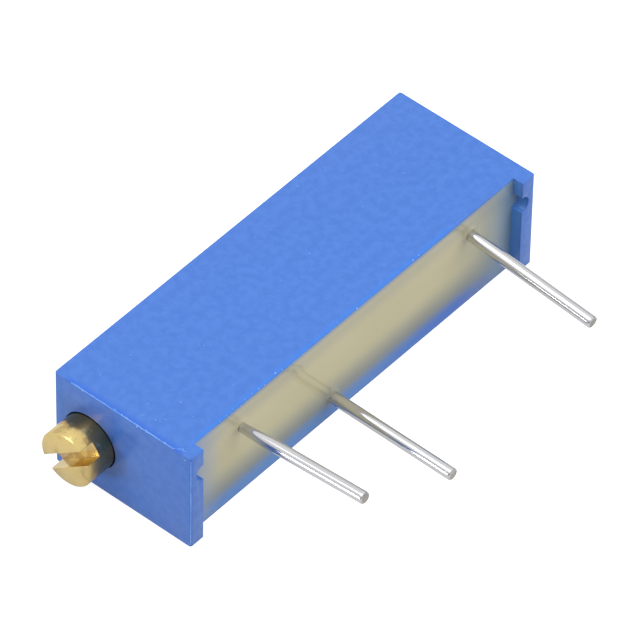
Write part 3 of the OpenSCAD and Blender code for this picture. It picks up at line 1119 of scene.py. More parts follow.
class Recipes:
    """The geometry node recipes of this part, each built once."""

    def __init__(self) -> None:
        """Builds every recipe."""
        self.ridge = self._ridge()
        self.grains = self._grains()
        self.scatter = self._scatter()
        self.placed = self._placed()
        self.thread = self._thread()

    @staticmethod
    def _ridge() -> Recipe:
        """Builds a ragged bead along a path.

        Returns:
            The recipe.
        """
        recipe = Recipe("ragged_ridge", {Kind.NUMBER: ("Radius", "Step", "Raggedness", "Seed")})
        graph, given = recipe.graph, recipe.given
        even = graph.add(
            "GeometryNodeResampleCurve", {"mode": "LENGTH"}, {"Curve": recipe.curve(), "Length": given["Step"]}
        )
        place = graph.add("GeometryNodeInputPosition").outputs[0]
        rough = graph.add(
            "ShaderNodeTexNoise",
            {"noise_dimensions": "4D"},
            {"Vector": place, "W": given["Seed"], "Scale": 3800.0, "Detail": 3.0, "Roughness": 0.7},
        )
        swell = graph.add("ShaderNodeMapRange", None, {0: rough.outputs[0], 1: 0.3, 2: 0.75, 3: 0.25, 4: 1.0})
        jitter = graph.add("ShaderNodeVectorMath", {"operation": "SUBTRACT"}, {0: rough.outputs[1], 1: (0.5, 0.5, 0.5)})
        profile = graph.add("GeometryNodeCurvePrimitiveCircle", None, {"Resolution": 7, "Radius": 1.0})
        inputs = {
            "Curve": recipe.moved(even.outputs[0], jitter.outputs[0], given["Raggedness"]),
            "Profile Curve": profile.outputs[0],
            "Scale": graph.product(swell.outputs[0], given["Radius"]),
            "Fill Caps": True,
        }
        recipe.close(graph.add("GeometryNodeCurveToMesh", None, inputs).outputs[0])
        return recipe

    @staticmethod
    def _grains() -> Recipe:
        """Builds crumbs strewn along a path.

        Returns:
            The recipe.
        """
        inputs = {Kind.WHOLE: ("Count", "Seed"), Kind.NUMBER: ("Smallest", "Largest", "Spread")}
        recipe = Recipe("crumbs_along_edge", inputs)
        graph, given = recipe.graph, recipe.given
        even = graph.add(
            "GeometryNodeResampleCurve", {"mode": "COUNT"}, {"Curve": recipe.curve(), "Count": given["Count"]}
        )
        dots = graph.add("GeometryNodeCurveToPoints", {"mode": "EVALUATED"}, {"Curve": even.outputs[0]})
        recipe.close(recipe.crumbs(recipe.moved(dots.outputs[0], recipe.random_vector(-1.0, 1.0), given["Spread"])))
        return recipe

    @staticmethod
    def _scatter() -> Recipe:
        """Builds crumbs strewn over a face.

        Returns:
            The recipe.
        """
        recipe = Recipe("crumbs_on_face", {Kind.WHOLE: ("Seed",), Kind.NUMBER: ("Density", "Smallest", "Largest")})
        inputs = {"Mesh": recipe.given["Geometry"], "Density": recipe.given["Density"], "Seed": recipe.given["Seed"]}
        dots = recipe.graph.add("GeometryNodeDistributePointsOnFaces", {"distribute_method": "RANDOM"}, inputs)
        recipe.close(recipe.crumbs(dots.outputs[0]))
        return recipe

    @staticmethod
    def _placed() -> Recipe:
        """Builds crumbs on given points.

        Returns:
            The recipe.
        """
        recipe = Recipe("crumbs_on_points", {Kind.WHOLE: ("Seed",), Kind.NUMBER: ("Smallest", "Largest")})
        dots = recipe.graph.add("GeometryNodeMeshToPoints", {"mode": "VERTICES"}, {"Mesh": recipe.given["Geometry"]})
        recipe.close(recipe.crumbs(dots.outputs[0]))
        return recipe

    @staticmethod
    def _thread() -> Recipe:
        """Builds a thread: the profile that it is given, swept along a helix on the X axis.

        Returns:
            The recipe.
        """
        recipe = Recipe("lead_thread", {Kind.NUMBER: ("Path Radius", "Turns", "Reach"), Kind.PLACE: ("Start",)})
        graph, given = recipe.graph, recipe.given
        sizes = {
            "Resolution": 48,
            "Rotations": given["Turns"],
            "Start Radius": given["Path Radius"],
            "End Radius": given["Path Radius"],
            "Height": given["Reach"],
        }
        helix = graph.add("GeometryNodeCurveSpiral", None, sizes).outputs[0]
        upright = graph.add("GeometryNodeSetCurveNormal", {"mode": "Z_UP"}, {"Curve": helix}).outputs[0]
        sweep = {"Curve": upright, "Profile Curve": recipe.curve(), "Fill Caps": True}
        swept = graph.add("GeometryNodeCurveToMesh", None, sweep).outputs[0]
        place = {"Geometry": swept, "Translation": given["Start"], "Rotation": (0.0, math.pi / 2, 0.0)}
        recipe.close(graph.add("GeometryNodeTransform", None, place).outputs[0])
        return recipe


# Sub-assemblies


@dataclass
class Assembly:
    """What every sub-assembly holds: the sizes that it shares with the others and its finished pieces."""

    sizes: BodySizes = SIZES
    made: list[Piece] = field(default_factory=list)


@dataclass
class Housing(Assembly):
    """The moulded box with its bevelled edges, flash and specks."""

    edge_bevel: float = 0.04
    sharp_angle: float = 32.0
    mouth_radius: float = 1.3
    mouth_share: float = 0.3
    ridge_radius: float = 0.032
    ridge_step: float = 0.04
    ridge_ragged: float = 0.045
    large_crumbs: Span = (0.018, 0.032)
    fine_crumbs: Span = (0.006, 0.024)
    face_specks: Span = (0.003, 0.016)
    speck_density: float = 0.45
    face_lap: float = 0.004

    def build(self, recipes: Recipes) -> None:
        """Builds the shell and what stands on its edges.

        Args:
            recipes: The geometry node recipes.
        """
        self.made.append(self._shell())
        self.made.extend(self._flash(recipes))
        self.made.append(self._specks(recipes))

    def _shell(self) -> Piece:
        """Rounds the box's edges.

        Returns:
            The shell.
        """
        shell = merged_copy("housing", "housing_shell")
        self._mark_edges(shell.data)
        bevel = shell.modifiers.new("edges", "BEVEL")
        bevel.width = self.edge_bevel * MM
        bevel.segments = 3
        bevel.limit_method = "WEIGHT"
        bevel.use_clamp_overlap = True
        settle(shell)
        smooth(shell, 24.0)
        dress(shell, BOOK.moulding)
        return place_piece(shell, Body.HOUSING, Slot.HOUSING, "housing")

    def _mark_edges(self, mesh: bpy.types.Mesh) -> None:
        """Weighs each sharp edge for the bevel: the mouth of the screw's bore keeps a crisp edge.

        Args:
            mesh: The shell's mesh.
        """
        s = self.sizes
        centre = s.row(0, s.screw_y, s.screw_z)
        shell = bmesh.new()
        shell.from_mesh(mesh)
        weight = shell.edges.layers.float.new("bevel_weight_edge")
        for edge in shell.edges:
            if len(edge.link_faces) == 2 and edge.calc_face_angle(0.0) > math.radians(self.sharp_angle):
                middle = (edge.verts[0].co + edge.verts[1].co) / 2
                mouth = middle.x - centre.x < 0.01 * MM and (middle - centre).length < self.mouth_radius * MM
                edge[weight] = self.mouth_share if mouth else 1.0
        shell.to_mesh(mesh)
        shell.free()

    def _flash(self, recipes: Recipes) -> list[Piece]:
        """Lays the ragged flash line along the end's upper edge, a pale bead down the near foot's front corner, and
        crumbs along the mould's parting edges.

        Args:
            recipes: The geometry node recipes.

        Returns:
            The pieces.
        """
        s = self.sizes
        skin = s.width - 0.012
        end_top = [s.row(0.014, y, skin) for y in (5.7, 4.0, 2.0, 0.85)]
        end_top += [s.row(0.2, 0.58, skin), s.row(0.17, 0.34, skin - 0.01), s.row(0.02, 0.24, s.width - 0.14)]
        # a pale ragged bead down the near foot's front corner, drawing a light line there
        foot_edge = [s.row(0.03, 0.03, z) for z in (s.width - 0.12, 3.0, 1.0, 0.1)]
        values = {"Radius": self.ridge_radius * MM, "Step": self.ridge_step * MM}
        values["Raggedness"] = self.ridge_ragged * MM
        made = []
        for name, path, seed in (("end_flash", end_top, 1.0), ("foot_flash", foot_edge, 7.0)):
            values.update({"Seed": seed, "Finish": BOOK.flash.build()})
            bead = recipes.ridge.grow(name, path_mesh(path), values)
            smooth(bead, 60.0)
            made.append(place_piece(bead, Body.HOUSING, Slot.HOUSING))
        for name, places in self._crumb_places().items():
            crumbs = point_mesh(s.row(*place) for place in places)
            values = {"Seed": len(places), **self._crumb_sizes(self.large_crumbs)}
            made.append(place_piece(recipes.placed.grow(name, crumbs, values), Body.HOUSING, Slot.HOUSING))
        rim = s.rim_recess + 0.02
        runs = [
            ("flash_crumbs_mid", [s.row(0.03, 5.2, skin), s.row(0.03, 1.6, skin)], 8, 0.035, 11),
            ("flash_crumbs_foot", [s.row(0.0, 0.42, s.width - 0.1), s.row(0.04, 0.04, s.width - 0.36)], 9, 0.05, 31),
            ("flash_crumbs_edge", [s.row(1.4, rim, skin), s.row(4.2, rim, skin)], 9, 0.03, 5),
            ("flash_crumbs_rim", [s.row(4.2, rim, skin), s.row(12.5, rim, skin)], 8, 0.03, 6),
        ]
        for name, path, count, spread, seed in runs:
            values = {"Count": count, "Spread": spread * MM, "Seed": seed, **self._crumb_sizes(self.fine_crumbs)}
            made.append(place_piece(recipes.grains.grow(name, path_mesh(path), values), Body.HOUSING, Slot.HOUSING))
        return made

    def _crumb_places(self) -> dict[str, list[Point]]:
        """Lists the larger crumbs and specks where the photograph shows them.

        Returns:
            Places in body millimetres by the name of their piece.
        """
        top = self.sizes.width - 0.006
        edge = [(0.0, 5.12), (0.0, 4.7), (0.0, 3.3), (-0.02, 2.52)]
        edge += [(-0.02, 2.3), (0.06, 2.13), (0.02, 0.84), (0.24, 0.56)]
        rim = [(3.84, 0.5), (4.49, 0.48), (5.17, 0.52), (5.46, 0.5)]
        rim += [(8.54, 0.5), (9.53, 0.47), (12.7, 0.49), (13.04, 0.5)]
        flat = [(0.96, 5.17), (1.03, 2.94), (0.64, 2.22), (1.88, 2.13), (3.75, 1.27), (4.48, 3.33)]
        foot = [(0.2, 0.4, top), (0.03, 0.3, top - 0.1), (0.0, 0.26, 4.4), (0.03, 0.1, 4.42), (0.0, 0.42, 3.85)]
        return {
            "edge_crumbs": [(x, y, top) for x, y in edge] + foot,
            "rim_crumbs": [(x, y, top) for x, y in rim],
            "flat_specks": [(x, y, self.sizes.width - self.face_lap) for x, y in flat],
        }

    def _specks(self, recipes: Recipes) -> Piece:
        """Strews pale specks over the upper broad side.

        Args:
            recipes: The geometry node recipes.

        Returns:
            The piece.
        """
        s = self.sizes
        corners = [
            s.row(x, y, s.width - self.face_lap)
            for x, y in ((0.4, 0.7), (s.length - 0.4, 0.7), (s.length - 0.4, s.height - 0.3), (0.4, s.height - 0.3))
        ]
        sheet = bpy.data.meshes.new("broad_side")
        sheet.from_pydata([tuple(c) for c in corners], [], [(0, 1, 2, 3)])
        values = {"Density": self.speck_density / MM**2, "Seed": 41, **self._crumb_sizes(self.face_specks)}
        return place_piece(recipes.scatter.grow("surface_specks", sheet, values), Body.HOUSING, Slot.HOUSING)

    @staticmethod
    def _crumb_sizes(span: Span) -> dict[str, object]:
        """Gives a recipe's inputs for pale crumbs between two radii in millimetres."""
        return {"Smallest": span[0] * MM, "Largest": span[1] * MM, "Finish": BOOK.speck.build()}


@dataclass(frozen=True)
class Lead:
    """One terminal wire: where it stands, how far it reaches and how it leans."""

    node: str
    x: float
    z: float
    reach: float
    lean: float
    wick: float
    turn: float
    neck: float = 0.0
    neck_reach: float = 0.5
    thickness: float = 0.25

    def radius(self, along: float) -> float:
        """Returns the wire's radius at a distance beyond the plane of the feet.

        Args:
            along: The distance along the wire, negative inside.

        Returns:
            The radius, in millimetres, less where the wire was necked when it was formed.
        """
        share = min(1.0, max(0.0, (along + 0.4) / (self.neck_reach + 0.4)))
        return self.thickness - self.neck * (1.0 - share) ** 1.5

    def at(self, along: float) -> Vector:
        """Returns the place on the wire's axis at a distance beyond the plane of the feet.

        Args:
            along: The distance along the wire, negative inside.

        Returns:
            The place, in metres.
        """
        angle = math.radians(self.lean)
        return SIZES.row(self.x, -along * math.cos(angle), self.z + along * math.sin(angle))

    def axis(self) -> Vector:
        """Returns the wire's direction, away from the body."""
        angle = math.radians(self.lean)
        return Vector((0.0, -math.cos(angle), math.sin(angle)))


LEADS = (
    Lead("terminal_1", 3.175, 3.52, 5.42, 4.3, 0.1, 20.0, neck=0.06, neck_reach=1.4),
    Lead("terminal_2", 8.255, 0.98, 5.28, -0.6, 0.13, 75.0),
    Lead("terminal_3", 15.875, 3.52, 5.46, -5.9, 0.15, -30.0, neck=0.03, neck_reach=0.9),
)


@dataclass
class Terminals(Assembly):
    """Three tinned wires with sheared ends."""

    radius: float = 0.25
    tin_swell: float = 0.002
    bend_depth: float = 0.5
    shank_radius: float = 0.22
    shank_end: float = 2.3
    sides: int = 48

    def build(self) -> None:
        """Builds every wire."""
        for number, lead in enumerate(LEADS):
            self.made.append(self._wire(lead, number))

    def _wire(self, lead: Lead, number: int) -> Piece:
        """Sweeps one wire from its shank to its cut end.

        Args:
            lead: Its sizes.
            number: Its place in the row, which sets its unevenness.

        Returns:
            The wire.
        """
        axis = lead.axis()
        side = Vector((1.0, 0.0, 0.0))
        up = axis.cross(side)
        rings: list[list[Vector]] = []
        inner = lead.at(-self.bend_depth)
        for depth in (self.shank_end, self.bend_depth + 0.25, self.bend_depth + 0.06):
            centre = Vector((inner.x, depth * MM, inner.z))
            rings.append(self._ring(centre, side, Vector((0, 0, -1)), self.shank_radius, number, depth, 0.0))
        steps = 70
        stop = lead.reach - 0.05
        for i in range(steps + 1):
            along = -self.bend_depth + 0.05 + (stop + self.bend_depth - 0.05) * i / steps
            radius = lead.radius(along) - self.tin_swell
            rings.append(self._ring(lead.at(along), side, -up, radius, number, along, self.tin_swell))
        for inset, ahead in ((0.008, 0.022), (0.022, 0.038), (0.045, 0.046)):
            ring = self._ring(lead.at(stop + ahead), side, -up, self.radius - inset, number, 9.0, 0.0)
            rings.append(ring)
        vertices = [p for ring in rings for p in ring]
        count = self.sides
        faces = tube_faces(len(rings), count)
        body_faces = len(faces)
        cap_start = len(rings) - 1
        previous = [cap_start * count + k for k in range(count)]
        for share in (0.8, 0.6, 0.4, 0.2):
            ring = []
            for k in range(count):
                angle = 2 * math.pi * k / count
                radius = (self.radius - 0.045) * share
                u, v = radius * math.cos(angle), radius * math.sin(angle)
                ring.append(len(vertices))
                vertices.append(lead.at(stop + 0.046 + self._relief(u, v, lead.turn)) + (side * u - up * v) * MM)
            faces.extend((previous[k], previous[(k + 1) % count], ring[(k + 1) % count], ring[k]) for k in range(count))
            previous = ring
        tip = len(vertices)
        vertices.append(lead.at(stop + 0.046 + self._relief(0.0, 0.0, lead.turn)))
        faces.extend((previous[k], previous[(k + 1) % count], tip) for k in range(count))
        start = len(vertices)
        vertices.append(Vector((inner.x, self.shank_end * MM, inner.z)))
        faces.extend(((k + 1) % count, k, start) for k in range(count))
        wire = make_object(lead.node + "_wire", vertices, faces)
        dress(wire, BOOK.tin, BOOK.cut)
        for polygon in wire.data.polygons:
            polygon.material_index = 1 if body_faces <= polygon.index < len(faces) - count else 0
        smooth(wire, 35.0)
        return place_piece(wire, Body.HOUSING, Slot.WIRE, lead.node)

    @staticmethod
    def _relief(u: float, v: float, turn: float) -> float:
        """Gives the height of the cut face: a low ridge where the two blades met.

        Args:
            u: Place across the wire.
            v: Place up the wire.
            turn: Direction of the ridge, in degrees.

        Returns:
            The height, in millimetres.
        """
        angle = math.radians(turn)
        across = -u * math.sin(angle) + v * math.cos(angle)
        return 0.004 - 0.018 * min(1.0, abs(across) / 0.12)

    def _ring(
        self, centre: Vector, side: Vector, up: Vector, radius: float, number: int, along: float, uneven: float
    ) -> list[Vector]:
        """Makes one ring of points round the wire.

        Args:
            centre: The ring's centre.
            side: First direction across the wire.
            up: Second direction across the wire.
            radius: Its radius, in millimetres.
            number: The wire's number.
            along: Place along the wire.
            uneven: How far the tin swells, in millimetres.

        Returns:
            The points.
        """
        points = []
        for k in range(self.sides):
            angle = 2 * math.pi * k / self.sides
            c, w = math.cos(angle), math.sin(angle)
            swell = uneven * noise.noise(Vector((c * 1.2 + number * 7, w * 1.2, along * 1.4)))
            points.append(centre + (side * c + up * w) * (radius + swell) * MM)
        return points


@dataclass
class Potting(Assembly):
    """The cast epoxy: its dished surface, which laps over both rims, and what crept up the wires."""

    edge: float = 0.465
    dip: float = 0.022
    climb: float = 0.4
    lap: float = 0.12
    brim: float = 0.03
    brim_fade: float = 0.06
    brim_sink: float = 0.03
    grid: float = 0.11
    collar: float = 0.08
    collar_fade: float = 0.07
    film: float = 0.012
    waver: float = 0.003
    waver_scale: Span = (0.35, 0.6)
    brim_steps: tuple[float, ...] = (0.02, 0.04, 0.06, 0.09, 0.14, 0.2)
    collar_rings: tuple[float, ...] = (0.24, 0.27, 0.3, 0.34, 0.39, 0.45)
    wick_wave: Point = (0.75, 0.35, 0.12)
    wick_thickness: float = 0.018

    def build(self) -> None:
        """Builds the fill and the wicks."""
        self.made.append(self._fill())
        for lead in LEADS:
            self.made.append(self._wick(lead))

    def _outline(self) -> list[tuple[float, float]]:
        """Gives the surface's outline: the opening with both rims, and a half round in each foot.

        Returns:
            The points in x and z.
        """
        s = self.sizes
        low, high = self.brim, s.width - self.brim
        points: list[tuple[float, float]] = []

        def straight(a: tuple[float, float], b: tuple[float, float]) -> None:
            """Adds points from a towards b, without b."""
            count = max(1, round(math.dist(a, b) / self.grid))
            for i in range(count):
                points.append((a[0] + (b[0] - a[0]) * i / count, a[1] + (b[1] - a[1]) * i / count))

        def half_round(x: float, start: float) -> None:
            """Adds the groove's arc."""
            for i in range(24):
                angle = math.radians(start + 180 * i / 24)
                points.append(
                    (x + s.groove_radius * math.cos(angle), s.groove_height + s.groove_radius * math.sin(angle))
                )

        near, far = s.end_wall, s.length - s.end_wall
        straight((near, low), (far, low))
        straight((far, low), (far, s.groove_height - s.groove_radius))
        half_round(far, -90)
        straight((far, s.groove_height + s.groove_radius), (far, high))
        straight((far, high), (near, high))
        straight((near, high), (near, s.groove_height + s.groove_radius))
        half_round(near, 90)
        straight((near, s.groove_height - s.groove_radius), (near, low))
        return points

    def _depth(self, x: float, z: float) -> float:
        """Gives the surface's depth below the plane of the feet.

        Args:
            x: Place along the body.
            z: Place across the opening.

        Returns:
            The depth, in millimetres.
        """
        s = self.sizes
        outer = min(z, s.width - z)
        over_rim = s.rim_recess - self.film
        inward = max(0.0, outer - s.side_wall + self.lap)
        depth = over_rim + (self.edge + self.dip - over_rim) * (1 - math.exp(-((inward / self.climb) ** 2)))
        depth += self.brim_sink * max(0.0, 1 - (outer - self.brim) / self.brim_fade)
        depth += self.waver * noise.noise(Vector((x * self.waver_scale[0], z * self.waver_scale[1], 3.0)))
        for lead in LEADS:
            foot = lead.z - self.edge * math.tan(math.radians(lead.lean))
            reach = math.hypot(x - lead.x, z - foot) - 0.25
            depth -= self.collar * math.exp(-max(0.0, reach) / self.collar_fade)
        return depth

    def _fill(self) -> Piece:
        """Builds the fill as a closed solid with a fine upper surface.

        Returns:
            The fill.
        """
        outline = self._outline()
        points = list(outline)
        s = self.sizes
        columns = int((s.length - 2 * s.end_wall) / self.grid)
        margin = self.grid * 0.5
        brims = [self.brim + inset for inset in self.brim_steps]
        inner = brims[-1] + 0.08
        rows = int((s.width - 2 * inner) / self.grid)
        levels = [inner + (s.width - 2 * inner) * j / (rows - 1) for j in range(rows)]
        levels += brims + [s.width - z for z in brims]
        for i in range(columns):
            x = s.end_wall + margin + (s.length - 2 * s.end_wall - 2 * margin) * i / (columns - 1)
            points.extend((x, z) for z in levels)
        for x in (s.end_wall, s.length - s.end_wall):
            out = -1 if x < s.middle else 1
            for share in (0.35, 0.7):
                for k in range(9):
                    angle = math.radians(-70 + 140 * k / 8)
                    reach = s.groove_radius * share
                    points.append((x + out * reach * math.cos(angle), s.groove_height + reach * math.sin(angle)))
        for lead in LEADS:
            foot = lead.z - math.tan(math.radians(lead.lean)) * self.edge
            for radius in self.collar_rings:
                for k in range(32):
                    angle = 2 * math.pi * k / 32
                    x, z = lead.x + radius * math.cos(angle), foot + radius * math.sin(angle)
                    if s.side_wall + 0.02 < z < s.width - s.side_wall - 0.02:
                        points.append((x, z))
        count = len(outline)
        edges = [(i, (i + 1) % count) for i in range(count)]
        flat, _, faces, _, _, _ = delaunay_2d_cdt([Vector(p) for p in points], edges, [], 1, 1e-5)
        rim = self._rim(flat, faces)
        vertices = [s.row(p[0], self._depth(p[0], p[1]), p[1]) for p in flat]
        base = len(vertices)
        vertices.extend(s.row(flat[i][0], s.plate_back, flat[i][1]) for i in rim)
        sides = []
        for k in range(len(rim)):
            n = (k + 1) % len(rim)
            sides.append((rim[k], rim[n], base + n, base + k))
        shell = [tuple(f) for f in faces] + sides + [tuple(range(base, base + len(rim)))]
        fill = make_object("potting_surface", vertices, shell)
        smooth(fill, 40.0)
        dress(fill, BOOK.epoxy)
        return place_piece(fill, Body.HOUSING, Slot.POTTING, "potting_fill")

    @staticmethod
    def _rim(flat: Sequence[Vector], faces: Sequence[Sequence[int]]) -> list[int]:
        """Walks the free edge of a flat mesh.

        Args:
            flat: Its points. Not used.
            faces: Its faces.

        Returns:
            The points of the free edge in order.
        """
        seen: dict[tuple[int, int], int] = {}
        for face in faces:
            for i, a in enumerate(face):
                b = face[(i + 1) % len(face)]
                seen[(a, b)] = seen.get((a, b), 0) + 1
        follow = {a: b for (a, b) in seen if (b, a) not in seen}
        start = next(iter(follow))
        rim = [start]
        while follow[rim[-1]] != start:
            rim.append(follow[rim[-1]])
        return rim

    def _wick(self, lead: Lead) -> Piece:
        """Builds the film of epoxy that crept up one wire.

        Args:
            lead: The wire.

        Returns:
            The film.
        """
        axis, side = lead.axis(), Vector((1.0, 0.0, 0.0))
        up = axis.cross(side)
        count, steps = 40, 16
        start = -self.edge + 0.02
        mean, swing, tilt = self.wick_wave
        vertices: list[Vector] = []
        for shell in (0, 1):
            for i in range(steps + 1):
                for k in range(count):
                    angle = 2 * math.pi * k / count
                    c, w = math.cos(angle), math.sin(angle)
                    ragged = mean + swing * noise.noise(Vector((c + lead.x, w, 2.0))) + tilt * c
                    along = start + lead.wick * ragged * i / steps
                    fade = (1 - i / steps) ** 1.6
                    wire = lead.radius(along)
                    radius = wire - 0.008 if shell else wire + 0.001 + self.wick_thickness * fade
                    vertices.append(lead.at(along) + (side * c + up * w) * radius * MM)
        layer = (steps + 1) * count
        faces = tube_faces(steps + 1, count) + tube_faces(steps + 1, count, layer)
        for i in (0, steps):
            for k in range(count):
                a, b = i * count + k, i * count + (k + 1) % count
                faces.append((a, b, layer + b, layer + a))
        film = make_object(lead.node + "_wick", vertices, faces)
        smooth(film, 60.0)
        dress(film, BOOK.epoxy_wick)
        return place_piece(film, Body.HOUSING, Slot.POTTING)


@dataclass
class AdjustingScrew(Assembly):
    """The turned screw: slotted head, seal groove, neck, collar and lead thread."""

    head_radius: float = 1.18
    head_reach: float = 1.3
    head_bevel: float = 0.07
    edge_bevel: float = 0.025
    sharp_angle: float = 50.0
    head_inside: float = 2.2
    slot_width: float = 0.6
    slot_depth: float = 0.62
    slot_turn: float = 38.0
    groove_start: float = 1.0
    groove_end: float = 1.5
    groove_radius: float = 0.78
    neck_radius: float = 0.55
    collar_start: float = 2.7
    collar_end: float = 3.05
    collar_radius: float = 0.95
    core_radius: float = 0.6
    crest_radius: float = 0.8
    thread_end: float = 18.11
    tip_radius: float = 0.45
    tip_end: float = 18.61
    pitch: float = 0.8
    run_out: float = 0.4
    root_share: float = 0.42
    crest_share: float = 0.1
    thread_sink: float = 0.03
    sides: int = 128

    def build(self, recipes: Recipes) -> None:
        """Builds the turned body and its thread.

        Args:
            recipes: The geometry node recipes.
        """
        self.made.append(self._turned())
        self.made.append(self._thread(recipes))

    def _profile(self) -> list[tuple[float, float]]:
        """Gives the turned outline as places along the body and radii.

        Returns:
            The points.
        """
        b = self.head_bevel
        return [
            (-self.head_reach, self.head_radius - b),
            (b * 0.35 - self.head_reach, self.head_radius - b * 0.3),
            (b - self.head_reach, self.head_radius),
            (self.slot_depth - self.head_reach + 0.05, self.head_radius),
            (-0.3, self.head_radius),
            (0.0, self.head_radius),
            (self.groove_start - 0.03, self.head_radius),
            (self.groove_start, self.head_radius - 0.03),
            (self.groove_start, self.groove_radius),
            (self.groove_end, self.groove_radius),
            (self.groove_end, self.head_radius - 0.03),
            (self.groove_end + 0.03, self.head_radius),
            (self.head_inside - 0.04, self.head_radius),
            (self.head_inside, self.head_radius - 0.04),
            (self.head_inside, self.neck_radius),
            (self.collar_start, self.neck_radius),
            (self.collar_start, self.collar_radius - 0.03),
            (self.collar_start + 0.03, self.collar_radius),
            (self.collar_end - 0.03, self.collar_radius),
            (self.collar_end, self.collar_radius - 0.03),
            (self.collar_end, self.core_radius),
            (self.thread_end, self.core_radius),
            (self.thread_end, self.tip_radius),
            (self.tip_end - 0.07, self.tip_radius),
            (self.tip_end, self.tip_radius - 0.07),
        ]

    def _turned(self) -> Piece:
        """Turns the screw's body and cuts its slot.

        Returns:
            The screw.
        """
        s = self.sizes
        vertices: list[Vector] = []
        profile = self._profile()
        for x, radius in profile:
            for k in range(self.sides):
                angle = 2 * math.pi * k / self.sides
                vertices.append(s.row(x, s.screw_y + radius * math.cos(angle), s.screw_z + radius * math.sin(angle)))
        faces = tube_faces(len(profile), self.sides)
        last = (len(profile) - 1) * self.sides
        faces.append(tuple(range(self.sides)))
        faces.append(tuple(range(last, last + self.sides)))
        screw = make_object("screw_turned", vertices, faces)
        tool = self._slot_tool()
        cut = screw.modifiers.new("slot", "BOOLEAN")
        cut.object = tool
        cut.operation = "DIFFERENCE"
        cut.solver = "EXACT"
        bevel = screw.modifiers.new("edges", "BEVEL")
        bevel.width = self.edge_bevel * MM
        bevel.segments = 2
        bevel.limit_method = "ANGLE"
        bevel.angle_limit = math.radians(self.sharp_angle)
        settle(screw)
        bpy.data.objects.remove(tool)
        smooth(screw, 28.0)
        dress(screw, BOOK.brass)
        return place_piece(screw, Body.SCREW, Slot.SCREW, "adjusting_screw")

    def _slot_tool(self) -> Piece:
        """Makes the block that cuts the slot.

        Returns:
            The block.
        """
        s = self.sizes
        turn = Matrix.Rotation(math.radians(-self.slot_turn), 4, "X")
        centre = s.row(0, s.screw_y, s.screw_z)
        corners = []
        for x in (-self.head_reach - 0.5, self.slot_depth - self.head_reach):
            for y in (-2.0, 2.0):
                for z in (-self.slot_width / 2, self.slot_width / 2):
                    across = turn @ Vector((0, y, z)) * MM
                    corners.append(Vector((s.row(x, 0, 0).x, centre.y + across.y, centre.z + across.z)))
        faces = [(0, 1, 3, 2), (4, 6, 7, 5), (0, 4, 5, 1), (2, 3, 7, 6), (0, 2, 6, 4), (1, 5, 7, 3)]
        tool = make_object("slot_tool", corners, faces)
        tool.hide_render = True
        return tool

    def _thread(self, recipes: Recipes) -> Piece:
        """Winds the thread on the screw's core.

        Args:
            recipes: The geometry node recipes.

        Returns:
            The thread.
        """
        s = self.sizes
        start = self.collar_end + self.pitch * self.run_out
        reach = self.thread_end - start - self.pitch * self.run_out
        root, crest = self.pitch * self.root_share, self.pitch * self.crest_share
        height = self.crest_radius - self.core_radius
        profile = [(-self.thread_sink, -root), (height, -crest), (height, crest), (-self.thread_sink, root)]
        base = path_mesh([Vector((-r * MM, a * MM, 0.0)) for r, a in profile], closed=True)
        thread = recipes.thread.grow(
            "lead_thread",
            base,
            {
                "Path Radius": self.core_radius * MM,
                "Turns": reach / self.pitch,
                "Reach": reach * MM,
                "Start": tuple(s.row(start, s.screw_y, s.screw_z)),
                "Finish": BOOK.brass.build(),
            },
        )
        smooth(thread, 30.0)
        return place_piece(thread, Body.SCREW, Slot.SCREW)


@dataclass
class Internals:
    """The carried-over pieces inside the box, each with its finish."""

    finishes: dict[str, Finish] = field(
        default_factory=lambda: {
            "shaft_seal": BOOK.rubber,
            "screw_retainer": BOOK.steel,
            "wiper_carriage": BOOK.ivory,
            "wiper_contact": BOOK.spring,
            "ceramic_substrate": BOOK.alumina,
            "resistive_track": BOOK.cermet,
            "collector_track": BOOK.conductor,
            "end_pad_1": BOOK.conductor,
            "end_pad_3": BOOK.conductor,
            "solder_1": BOOK.solder,
            "solder_2": BOOK.solder,
            "solder_3": BOOK.solder,
        }
    )

    def build(self, nodes: dict[str, Piece]) -> None:
        """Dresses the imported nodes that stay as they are.

        Args:
            nodes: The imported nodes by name.
        """
        for name, finish in self.finishes.items():
            dress(nodes[name], finish)


@dataclass(frozen=True)
class Softbox:
    """One square light: its place and edge in metres, its power, and whether glossy faces mirror it."""

    name: str
    place: Point
    edge: float
    power: float
    mirrored: bool


